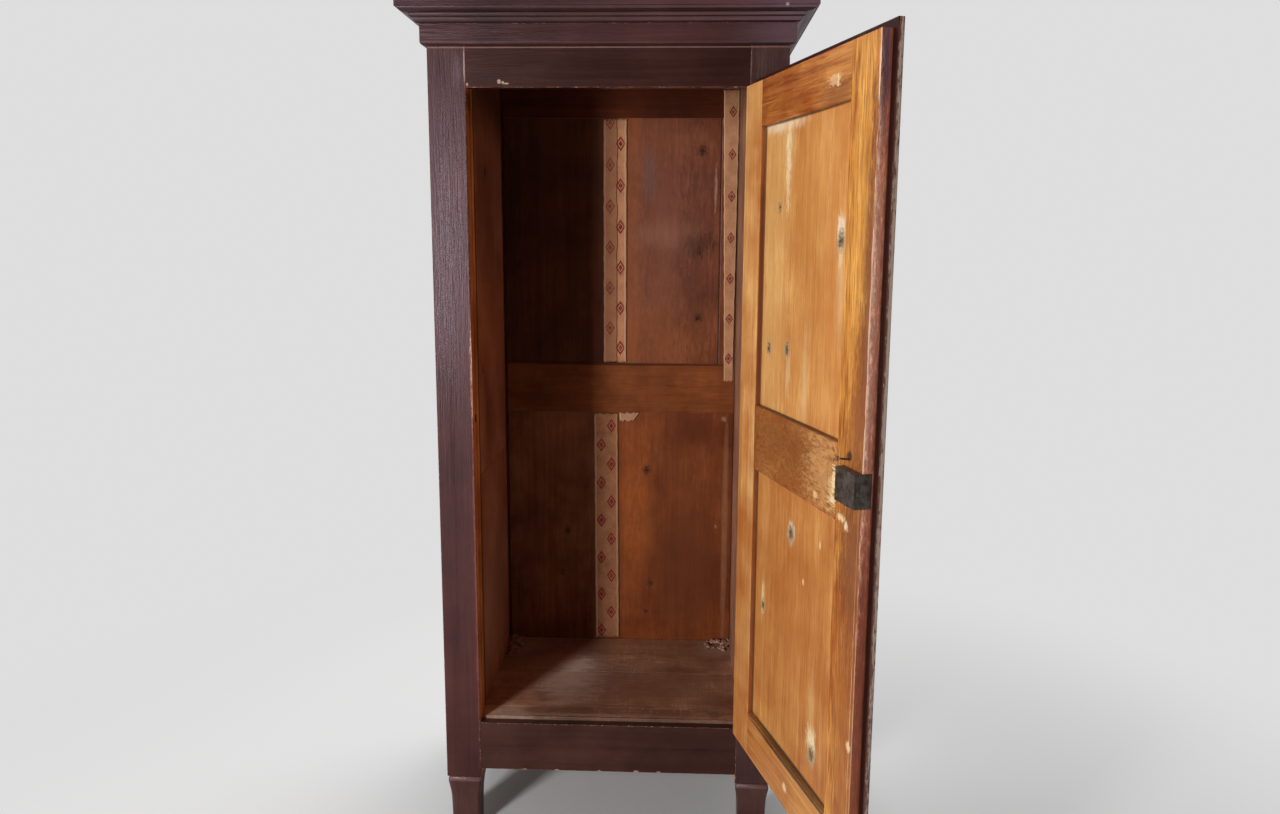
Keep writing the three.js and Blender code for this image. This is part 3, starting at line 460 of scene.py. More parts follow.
def arrisEdges(bm):
    found = []
    box = boxOf(bm)
    for edge in bm.edges:
        if not edge.is_manifold or edge.calc_length() < arris["longerMm"] * mm:
            continue
        if edge.calc_face_angle(0) < arris["turn"]:
            continue
        a, b = (v.co for v in edge.verts)
        lying = sum(any(max(abs(a[axis] - p), abs(b[axis] - p)) < arris["nearMm"] * mm for p in box[axis])
                    for axis in range(3))
        if lying >= 2:
            found.append(edge)
    return found

# Rounds the given edges; gives back the new faces.
def rounded(bm, edges, width, clamp):
    return bmesh.ops.bevel(bm, geom=edges, affect="EDGES", offset=width * mm, offset_type="OFFSET",
                           segments=2, profile=0.5, material=-1, clamp_overlap=clamp)["faces"]

def shadeRound(bm):
    for face in bm.faces:
        face.smooth = True
    for edge in bm.edges:
        if edge.is_manifold and edge.calc_face_angle(0) > arris["sharpTurn"]:
            edge.smooth = False

# A wooden piece: its CAD form with rubbed, rounded arrises; rule picks each face's finish by its
# middle in millimetres and its normal.
def woodPiece(node, materials, width, rule=lambda centre, normal: 0, place=caseFrame,
              body="case"):
    bm = copyOf(node, place)
    wear = bm.faces.layers.float.new("wear")
    for face in rounded(bm, arrisEdges(bm), width, False):
        face[wear] = 1
    bm.normal_update()
    for face in bm.faces:
        face.material_index = rule(face.calc_center_median() / mm, face.normal)
    bmesh.ops.transform(bm, matrix=place, verts=bm.verts)
    settle(node + "_finished", bm, body, materials, (node,))

# Paint and raw wood of the case, by the way that the grain runs
casePaint = {grain: paint(f"oxblood_paint_case_{grain}", paintLook, grain, shift)
             for grain, shift in (("up", (13, 44, 0)), ("across", (28, 60, 0)), ("deep", (35, 25, 0)))}
rawWood = {grain: pine(f"raw_pine_{grain}", rawLook, grain, shift)
           for grain, shift in (("up", (20, 50, 0)), ("across", (60, 35, 0)), ("deep", (45, 60, 0)))}

# Dust along the top of the posts and the top rail, under the cornice
dustLine = (0, 1880.5, 4000, 1.3, "#8f6862", 0.6, 0.9, 8)

# Corner posts: painted outside, with the varnished jamb of the opening on the front ones
jambLook = {**insideLook, "pale": "#eeb078", "mid": "#e09c62", "deep": "#c8824a", "late": "#9a5a30",
            "lateShare": 0.3}
lockPostLook = {**paintLook, "dash": 1, "bump": 0.6}
# The hinge post's paint is greyer and more lilac than the rest: painted sheen.
hingePostSheenLook = {**paintLook, "dark": "#372320", "mid": "#442c28", "light": "#513631"}
postPaint = {
    "front_left": paint("oxblood_paint_lock_post", lockPostLook, "up", (-700, 60, 0), (
        dustLine,
        (-316, 1843, 2.5, 36, "#c0a39c", 0.6, 2.2),
        (-334, 1833, 9, 26, "#8c7882", 0.18, 3.4, None, 0.8),
        ((-316, 0, 1150), (4, 7, 130), "#7a3c2c", 0.85, 2.4, 9),
        ((-315, 0, 1150), (2.4, 5, 90), "#e0c6b2", 0.85, 5.4, 3),
        ((-316, 0, 700), (3, 6, 420), "#84483a", 0.55, 3.2, 12),
    ), 0.4),
    "front_right": paint("oxblood_paint_and_sheen_hinge_post", hingePostSheenLook, "up", (660, 50, 0), (
        dustLine,
        (314, 1832, 2, 36, "#b0938c", 0.5, 2.2),
    )),
}
# The jamb is darker near its top, under the top rail, and in a band along the step to the lining: painted
# shade.
jambPine = pine("varnished_pine_jamb", jambLook, "up", (50, 30, 0), (), (
    (30, 1770, 22, 22, "#3a1c10", 0.7),
    (74, 1100, 9, 4000, "#2a130a", 0.85, 0.6, 9),
    (36, 1500, 3, 4000, "#4a2414", 0.7, 0.8, 20),
), (0, -314, 10))
footLook = {**paintLook, "dark": "#3c241e", "mid": "#482d26", "light": "#563832"}
# The pale band round the collar of the feet is a painted highlight.
footPaint = paint("oxblood_paint_feet", footLook, "up", (13, 44, 0), (
    ((0, 250, 135), (4000, 4000, 5), "#7a5c56", 0.5, 0.6, 12, 0.6),
))
for end in ("front", "rear"):
    for side, hand in ((-1, "left"), (1, "right")):
        def postRule(centre, normal, side=side, end=end):
            return 1 if normal.x * side < -0.9 and end == "front" and centre.y > 3 else 0
        woodPiece(f"post_{end}_{hand}", [postPaint.get(f"{end}_{hand}", casePaint["up"]), jambPine],
                  easeMm[end + "Post"], postRule)
        bm = copyOf(f"foot_{end}_{hand}", caseFrame)
        bm.faces.layers.float.new("wear")
        shadeRound(bm)
        bmesh.ops.transform(bm, matrix=caseFrame, verts=bm.verts)
        settle(f"foot_{end}_{hand}_shaped", bm, "case", [footPaint], (f"foot_{end}_{hand}",))

# Front rails: their own tones, and chips along their edges (x, z, half width, half height)
railLook = {**paintLook, "bump": 0.4,
            "shader": {"IOR": 1.5, "Specular IOR Level": 0.2, "Specular Tint": (1, 0.72, 0.7, 1)}}
frontRails = {
    "front_top_rail": ({"dark": "#2a1613", "mid": "#341c18", "light": "#3e241f"}, (
        (-240, 1808, 3, 4), (-231, 1807, 3, 2), (-226, 1804, 6, 1.5), (-311, 1802, 2, 3))),
    "front_bottom_rail": ({"dark": "#301b17", "mid": "#3c231e", "light": "#472c26"}, (
        (-125, 167, 5, 2), (-20, 167, 4, 2), (71, 168, 5, 2), (126, 168, 4, 2), (-205, 167, 7, 1.5))),
}
for node, (tones, chips) in frontRails.items():
    railPaint = paint("oxblood_paint_" + node, {**railLook, **tones}, "across", (28, 60, 0),
                      [dustLine, *((*chip, "#c9a698", 0.7, 4.2, 2.5) for chip in chips)])
    woodPiece(node, [railPaint], easeMm["frontRail"])

# Sides: rails and fielded panels, painted outside and raw inside
for side, hand in ((-1, "left"), (1, "right")):
    def sideRule(centre, normal, side=side):
        return 1 if normal.x * side < -0.5 else 0
    for rail in ("bottom", "mid", "top"):
        woodPiece(f"side_{rail}_rail_{hand}", [casePaint["deep"], rawWood["deep"]], easeMm["sideRail"],
                  sideRule)
    for part in ("lower", "upper"):
        woodPiece(f"side_{part}_panel_{hand}", [casePaint["up"], rawWood["up"]], easeMm["panel"], sideRule)
print("posts, feet, rails and sides ready")

# Cornice: painted sheen lightens its right end; its undersides get painted shade in front and painted sheen
# on the sides
cornice = {
    "crown": ({"dark": "#321f1d", "mid": "#3f2827", "light": "#4b3231"}, (
        # The broad lilac patches towards the right are painted sheen; the small pale one on the crown is a
        # chip.
        ((330, -40, 1960), (300, 400, 60), "#7c565a", 0.28, 1.2, 60, 0.9),
        ((450, -40, 1950), (110, 400, 70), "#6e5660", 0.6, 1.2, 40, 0.9),
        ((386, -45, 1957), (3.5, 60, 2.2), "#c8b4b8", 0.8, 1.8, 4),
    )),
    "fascia": ({"dark": "#301c1a", "mid": "#3e2321", "light": "#4b2c29"}, (
        ((380, -10, 1870), (420, 400, 80), "#6a4844", 0.22, 1.2, 60, 0.9),
        ((430, -10, 1910), (90, 400, 60), "#6e5660", 0.6, 1.2, 40, 0.9),
    )),
}
corniceDust = ((-270, -4, 1886), (95, 40, 1.6), "#b08a84", 0.7, 0.8, 8)
cornicePaint = {(part, grain): paint(f"oxblood_paint_{part}_{grain}", {**paintLook, **tones, "bump": 0.5},
                                     grain, (52, 38, 0), (corniceDust, *patches))
                for part, (tones, patches) in cornice.items() for grain in ("across", "deep")}
# Paint for the undersides: darker under the front pieces as painted shade, a paler lilac under the side
# pieces as painted sheen.
undersideShadeSheenTones = {
    "across": {"dark": "#281714", "mid": "#321d19", "light": "#3c2521"},
    "deep": {"dark": "#54424a", "mid": "#66525a", "light": "#76606a"},
}
undersidePaintLook = {**paintLook, "smooth": 0.5, "rough": 0.6}
undersideShadeSheenPaint = {grain: paint(f"shade_and_sheen_paint_cornice_{grain}", {**undersidePaintLook, **tones}, grain, (52, 38, 0))
              for grain, tones in undersideShadeSheenTones.items()}
for part in ("fascia", "crown"):
    for hand, grain in (("front", "across"), ("left", "deep"), ("right", "deep")):
        woodPiece(f"cornice_{part}_{hand}", [cornicePaint[part, grain], undersideShadeSheenPaint[grain]], easeMm["cornice"],
                  lambda centre, normal: 1 if normal.z < -0.6 else 0)
woodPiece("top_board", [rawWood["across"]], easeMm["panel"])

# Side lining: knots (y, z, radius) and patches of the left boards
liningLook = {**insideLook, "pale": "#c0907a", "mid": "#b5846c", "deep": "#a5735c", "late": "#8c6048",
              "stainShare": 0.6, "stain": "#a08478"}
liningMarks = {
    "left_upper": (((241, 1630, 8), (164, 1144, 6)), (
        (240, 1250, 4000, 108, "#b06c42", 0.3, 0.15, None, 0.04),
        # The dark band along the top is painted shade under the top rail.
        (260, 1830, 400, 90, "#2e150b", 0.75, 1.6, 40, 0.9),
        (235, 1560, 90, 150, "#5a2e1a", 0.5, 1.6, 40, 0.7),
        (235, 1000, 70, 90, "#62341e", 0.5, 1.6, 30, 0.7),
    )),
    "left_lower": ((), (
        (240, 500, 200, 200, "#a08478", 0.45, 1.6, 40, 0.9),
    )),
}
for hand, side in (("left", -1), ("right", 1)):
    for part, shift in (("lower", (70, 20, 0)), ("upper", (10, 90, 0))):
        board = pine(f"varnished_pine_lining_{part}_{hand}", liningLook, "up", shift,
                     *liningMarks.get(f"{hand}_{part}", ()), face=(0, -322, 50))
        woodPiece(f"lining_{part}_{hand}", [board, rawWood["up"]], easeMm["inside"],
                  lambda centre, normal, side=side: 0 if normal.x * side < -0.5 else 1)

# Back: each part's way of the grain, place in the log, look, knots (x, z, radius) and patches
mauveLook = {**insideLook, "pale": "#854b36", "mid": "#7b442e", "deep": "#6e3b2a"}
# The left upper board and the top rail lie in shadow; their darker looks are painted shade.
paintedShadeBoardLook = {**insideLook, "pale": "#5c3120", "mid": "#532b1b", "deep": "#482416", "late": "#3c1a0d"}
paintedShadeRailLook = {**paintedShadeBoardLook, "pale": "#5c2610", "mid": "#53210d", "deep": "#481b0a"}
midRailLook = {**insideLook, "pale": "#8f5028", "mid": "#8a4d26", "deep": "#824723", "late": "#76401f"}
leftBoardLook = {**insideLook, "pale": "#94603f", "mid": "#885437", "deep": "#7a4a30"}
backParts = {
    "back_bottom_rail": ("across", (40, 20, 0), insideLook, (), ()),
    "back_mid_rail": ("across", (25, 45, 0), midRailLook, (), (
        # The darker left end and the darker top edge at the right are painted shade.
        ((-230, 519, 1050), (130, 9, 90), "#45200e", 0.35, 1.0, None, 0.9),
        ((210, 519, 1112), (110, 9, 12), "#6b2f18", 0.5, 1.6, 30, 0.8),
        ((0, 519, 1118), (330, 9, 3), "#2c140a", 0.8, 0.5),
    )),
    "back_top_rail": ("across", (65, 30, 0), paintedShadeRailLook, (), ()),
    "back_lower_board_left": ("up", (150, 30, 0), leftBoardLook, ((-153, 629, 7), (-171, 498, 6)), ()),
    "back_lower_board_right": ("up", (-60, 45, 0), insideLook,
                               ((77, 812, 9), (88, 472, 8), (77, 386, 6)), (
        (44, 680, 46, 190, "#a95a26", 0.5, 0.8, 50, 0.6),
        (205, 500, 90, 190, "#5f3018", 0.5, 0.9, 70, 0.5),
        (303, 625, 8, 330, "#97664c", 0.5, 1.2, 20),
        (296, 962, 7, 7, "#a5806a", 0.5),
        (277, 646, 3, 5, "#a5806a", 0.5),
        (150, 640, 120, 320, "#59301c", 0.35, 4.6, 10),
    )),
    "back_upper_board_left": ("up", (170, 50, 0), paintedShadeBoardLook, (), ()),
    "back_upper_board_right": ("up", (-140, 35, 0), mauveLook,
                               ((224, 1706, 9), (218, 1433, 6), (218, 1251, 9)), (
        # The pale mauve haze in the middle is painted sheen.
        (130, 1500, 110, 250, "#8c5a4a", 0.45, 1.8, 60, 0.9),
        (80, 1640, 16, 56, "#6b5c58", 0.4, 1.6, 12, 0.8),
        (30, 1430, 20, 800, "#9a5830", 0.35, 2.0, 20, 0.9),
        (150, 1190, 130, 80, "#96562e", 0.45, 1.6, 50, 0.8),
        (215, 1400, 48, 330, "#3f2016", 0.35, 4.4, 10),
        (120, 1500, 90, 260, "#44241a", 0.22, 5.0, 7),
        (215, 1455, 44, 30, "#3c1f14", 0.6, 4.4, 9, 0.5),
        (120, 1480, 70, 36, "#9c6c5a", 0.35, 2.4, 20, 0.9),
        (262, 1600, 3, 60, "#b08a74", 0.5, 5.4, 5),
        (275, 1400, 2.4, 4000, "#2f160c", 0.75, 0.5),
    )),
    "back_upper_board_narrow": ("up", (-290, 22, 0), mauveLook, (), ()),
}
for node, (grain, shift, look, knots, patches) in backParts.items():
    board = pine("varnished_pine_" + node, look, grain, shift, knots, patches, (1, 519, 20))
    woodPiece(node, [board, rawWood[grain]], easeMm["inside"],
              lambda centre, normal: 0 if normal.y < -0.5 else 1)

# Floor: its varnish is worn through, scratched and full of dust
floorZ = 297
floorLook = {
    **insideLook, "pale": "#cf9d7c", "mid": "#c49070", "deep": "#b47f60", "late": "#916044", "lateShare": 0,
    "scratch": "#dcc6ba", "scratchMm": 5, "scratchShare": 0.32, "stain": "#8a7670", "stainShare": 0.9,
    "hair": "#a5847a", "hairShare": 0.15, "dashShare": 0.15, "smooth": 0.42, "rough": 0.62,
    "shader": {"IOR": 1.5, "Specular IOR Level": 0.4},
}
floorPatches = (
    (40, 220, 300, 200, "#7c5a48", 0.45, 3.0, 24),
    # The greyer, darker patch at the left rear is painted shade.
    (-190, 400, 150, 150, "#7c6a64", 0.5, 2.4, 24, 0.9),
    (60, 470, 260, 70, "#8a5a3a", 0.5, 2.4, 24, 0.7),
    (160, 200, 170, 170, "#7a5038", 0.25, 4.4, 9),
    (-60, 200, 120, 170, "#5c4036", 0.3, 5.4, 6),
    (-105, 335, 36, 40, "#dccabf", 0.6, 3.2, 12),
    (-120, 262, 72, 130, "#c0a296", 0.6, 2.6, 20, 0.8),
    (-258, 52, 50, 22, "#b39a8c", 0.6, 4.6, 6),
    (-60, 36, 270, 6, "#a98c7c", 0.5, 4.6, 5),
    (60, 60, 280, 26, "#4b3226", 0.5, 3.4, 10),
    ((0, 22, 293), (400, 6, 20), "#4a342a", 0.7, 1.4, 9),
    (-250, 27, 80, 6, "#a08a7a", 0.5, 5.4, 4),
    (-165, 547, 34, 4, "#c9a890", 0.7),
    (17, 534, 18, 4, "#c9a890", 0.6),
    (-290, 470, 66, 66, "#a08878", 0.6, 3.6, 11),
    (285, 470, 60, 66, "#a0826e", 0.55, 3.6, 11),
)
for node, shift in (("floor_front_strip", (10, 30, 0)), ("floor_board_front", (40, 80, 0)),
                    ("floor_board_rear", (80, 55, 0))):
    board = pine("worn_varnish_" + node, floorLook, "across", shift, (), floorPatches, (2, floorZ, 20))
    woodPiece(node, [board, rawWood["across"]], easeMm["inside"],
              lambda centre, normal: 0 if normal.z > -0.5 else 1)
print("lining, back and floor ready")

# Old wallpaper, thin and yellowed: strips pasted over the cracks, printed with rings of lozenge shape
# in columns (place across, phase); a split in it shows the dark crack behind, and painted shade darkens the
# paper left of it
paperSettings = {
    "paper": "#b8825e", "shade": "#a06e4e", "edge": "#c9a07c", "edgeShare": 0.7, "print": "#70181a",
    "creaseMm": 28, "fadeMm": 5, "grainMm": 1.5, "rough": 0.8, "bumpMm": 0.2, "bump": 0.5,
    "shader": {"IOR": 1.4, "Specular IOR Level": 0.3},
    "lozengeMm": (14, 21), "stepMm": 112, "apartMm": 14.5,
    "lozenge": [(0, 1), (0.42, 1), (0.46, 0), (0.6, 0), (0.64, 1), (0.97, 1), (1, 0)],
    "crack": "#2a150c", "paintedShadeBesideSplit": "#7c4c34", "crackMm": (60, 12),
    "rowMm": 7, "columns": 12, "backY": 518.6, "sheetMm": 0.3, "waveMm": 0.5, "raggedMm": 1.6, "tearMm": 5,
    "waveEveryMm": (26, 34), "raggedEveryMm": 23, "tears": 6, "cutSide": 0.4,
}

def paperMaterial(name, s, middleX, columns, splitX=None):
    material, add, along = startMaterial(name, caseFrame, "up")
    crease = add("TexNoise", {}, {"Vector": along, "Scale": 1 / s["creaseMm"], "Detail": 5, "Roughness": 0.7})
    colour = add("ValToRGB", {"stops": [(0.35, s["shade"]), (0.6, s["paper"])]}, [crease])
    x, z = add("SeparateXYZ", {}, [along], ("X", "Z"))
    fade = add("TexNoise", {}, {"Vector": along, "Scale": 1 / s["fadeMm"], "Detail": 3})
    fade = add("MapRange", {}, [fade, 0.3, 0.55, 0.6, 1])
    for offset, phase in columns:
        across = add("Math", "SUBTRACT", [x, middleX + offset])
        across = add("Math", "ABSOLUTE", [across])
        across = add("Math", "DIVIDE", [across, s["lozengeMm"][0]])
        step = add("Math", "MULTIPLY_ADD", [z, 1 / s["stepMm"], phase])
        step = add("Math", "FRACT", [step])
        step = add("Math", "SUBTRACT", [step, 0.5])
        step = add("Math", "ABSOLUTE", [step])
        reach = add("Math", "MULTIPLY_ADD", [step, s["stepMm"] / s["lozengeMm"][1], across])
        ink = add("ValToRGB", {"stops": s["lozenge"]}, [reach])
        colour = laid(add, colour, ink, s["print"], fade)
    rim = add("Attribute", {"attribute_name": "wear"}, {}, "Fac")
    colour = laid(add, colour, rim, s["edge"], s["edgeShare"])
    if splitX is not None:
        length, sway = s["crackMm"]
        wander = add("VectorMath", "MULTIPLY", [along, (0, 0, 1)])
        wander = add("TexNoise", {}, {"Vector": wander, "Scale": 1 / length, "Detail": 4})
        split = add("Math", "MULTIPLY_ADD", [wander, sway, x])
        split = add("Math", "SUBTRACT", [split, splitX + sway / 2])
        # Left of the split the paper is darkened: painted shade.
        shade = add("MapRange", eased, [split, 4, -4, 0, 0.5])
        colour = laid(add, colour, shade, s["paintedShadeBesideSplit"])
        split = add("Math", "ABSOLUTE", [split])
        split = add("MapRange", {}, [split, 1.6, 0.7, 0, 0.9])
        colour = laid(add, colour, split, s["crack"])
    fine = add("TexNoise", {}, {"Vector": along, "Scale": 1 / s["grainMm"], "Detail": 2})
    height = add("Math", "MULTIPLY_ADD", [crease, 6, fine])
    finishMaterial(add, colour, s["rough"], height, s)
    return material

# A strip from left to right edge at its top and foot: waved, with torn ends and uneven cut sides.
def paperStrip(name, s, top, foot, zs, material, seed):
    rows, columns = max(8, round((zs[1] - zs[0]) / s["rowMm"])), s["columns"]
    bm = bmesh.new()
    bmesh.ops.create_grid(bm, x_segments=columns, y_segments=rows, size=0.5)
    wear = bm.faces.layers.float.new("wear")
    for face in bm.faces:
        face.smooth = True
        face[wear] = 1 if abs(face.calc_center_median().x) > 0.5 - 1 / columns else 0
    for vertex in bm.verts:
        u, v = vertex.co.x + 0.5, vertex.co.y + 0.5
        z = zs[0] + (zs[1] - zs[0]) * v
        left, right = (foot[k] + (top[k] - foot[k]) * v for k in (0, 1))
        ragged = noise.noise((seed, z / s["raggedEveryMm"], u * 2)) * s["raggedMm"]
        x = left + (right - left) * u + ragged * (2 * u - 1 if abs(u - 0.5) > s["cutSide"] else 0)
        tear = noise.noise((seed + 7, u * s["tears"], v * 2)) * s["tearMm"] * (1 if v in (0, 1) else 0)
        wave = abs(noise.noise((seed + 3, x / s["waveEveryMm"][0], z / s["waveEveryMm"][1]))) * s["waveMm"]
        vertex.co = Vector((x, s["backY"] - wave, z + tear)) * mm
    bmesh.ops.recalc_face_normals(bm, faces=bm.faces)
    if sum(face.normal.y for face in bm.faces) > 0:
        bmesh.ops.reverse_faces(bm, faces=bm.faces)
    bmesh.ops.solidify(bm, geom=bm.faces[:], thickness=s["sheetMm"] * mm)
    bmesh.ops.transform(bm, matrix=caseFrame, verts=bm.verts)
    stripNode = name.replace("_sheet", "")
    settle(name, bm, "case", [material], (stripNode,) if stripNode != name else ())

lowerPaper = {**paperSettings, "paper": "#9c6a4a", "shade": "#835438", "edge": "#b58a68"}
cornerPaper = {**paperSettings, "lozengeMm": (11, 16)}
remnantPaper = {**paperSettings, "paper": "#a87c60", "shade": "#94684c", "tearMm": 9}
twoColumns = ((paperSettings["apartMm"], 0.1), (-paperSettings["apartMm"], 0.6))
paperStrip("paper_strip_upper_sheet", paperSettings, (-47, 16), (-47, 16), (1125, 1790),
           paperMaterial("old_wallpaper_upper", paperSettings, -15, twoColumns, -10), 3)
paperStrip("paper_strip_lower_sheet", lowerPaper, (-75, -8), (-71, -3), (303, 976),
           paperMaterial("old_wallpaper_lower", lowerPaper, -40, twoColumns), 11)
paperStrip("paper_strip_corner_sheet", cornerPaper, (278.7, 321.4), (293, 317), (1073, 1866),
           paperMaterial("old_wallpaper_corner", cornerPaper, 305, ((0, 0.35),)), 19)
paperStrip("paper_remnant_lower", remnantPaper, (-2.5, 52), (-2, 36), (955, 978.5),
           paperMaterial("old_wallpaper_remnant", remnantPaper, -300, ()), 27)
print("paper strips ready")

# Door: shellacked pine inside, painted outside and round its edges, which are rubbed redder
edgeLook = {**paintLook, "dark": "#a0543c", "mid": "#bc6848", "light": "#c87a58", "rubbed": "#d09a74",
            "shader": {"IOR": 1.5, "Specular IOR Level": 0.3, "Specular Tint": (1, 0.8, 0.74, 1)}}
doorEdge = paint("rubbed_paint_door_edge", edgeLook, "up", (30, 70, 0), (
    (14, 1300, 16, 300, "#f0a888", 0.75, 2.2, 9, 0.7),
    (20, 1350, 5, 420, "#f4ccb4", 0.7, 5.0, 5),
    (12, 1250, 10, 560, "#70382e", 0.45, 6.0, 6, 0.3),
    (10, 560, 30, 330, "#84482c", 0.6, 1.6, 30, 0.6),
    (11, 760, 9, 560, "#5e2a26", 0.3, 4.4, 12, 0.4),
    # Darker towards the root of the lip, with a dark line in the rebate corner: painted shade.
    (2, 1000, 5, 4000, "#54241a", 0.6, 1.6, 20, 0.8),
    (14, 1775, 9, 120, "#54404a", 0.8, 1.6, 20, 0.6),
    (1, 1000, 2.4, 4000, "#1e0f0e", 0.9, 0.4, 6),
), 0.4, (0, -312, 9), doorFrame)
# The lip's greyer brown is partly painted sheen; pale specks along its outer arris are chips and painted
# glints; the dark lines at its root are painted shade in the rebate corner.
lipSheenTone = ("#6b4b3e", 0.8, 0.8, 20, 0.3)
doorPaint = {grain: paint(f"oxblood_paint_door_{grain}", paintLook, grain, shift, (
    ((-321, -5, 1050), (4, 6, 4000), *lipSheenTone),
    ((0, -5, 1808), (4000, 6, 4), *lipSheenTone),
    ((-321, -8, 1250), (4, 4, 700), "#b8a292", 0.7, 5.4, 5),
    ((-316, 0, 1050), (6.5, 2.4, 4000), "#2c0f08", 0.9, 0.4, 9),
    ((0, 0, 1802), (4000, 2.4, 9), "#2c0f08", 0.9, 0.4, 9),
), 0.8, place=doorFrame) for grain, shift in (("up", (5, 70, 0)), ("across", (48, 33, 0)))}
# recessShade is painted shade along the recessed edges of the panels.
cream, recessShade = "#e6cb98", "#352318"
hingeStileLook = {**doorLook, "pale": "#fad494", "mid": "#f4bd76", "deep": "#e4a258", "late": "#c88a44",
                  "hair": "#d8a468"}
lockStileLook = {**doorLook, "pale": "#f6be68", "mid": "#eead50", "deep": "#dc943c", "hair": "#94602e",
                 "hairShare": 0.5, "dashShare": 0.8}
topRailLook = {**doorLook, "pale": "#d8974e", "mid": "#c8843e", "deep": "#aa692e", "late": "#87501f",
               "dashShare": 0.6}
lockRailLook = {**doorLook, "pale": "#d09658", "mid": "#c4884a", "deep": "#b0743c", "late": "#8f5a2c",
                "lateShare": 0.75, "ringMm": 11, "curlMm": 45, "curlReachMm": (60, 60, 0), "dashShare": 0.6}
upPanelLook = {**doorLook, "pale": "#f0bf7a", "mid": "#e8ad64", "deep": "#d8974e", "late": "#c4823e",
               "hairShare": 0.25, "stainShare": 0.55}
lowPanelLook = {**doorLook, "pale": "#dfa662", "mid": "#d3944e", "deep": "#c58240", "late": "#b07036",
                "hairShare": 0.25, "stainShare": 0.5}

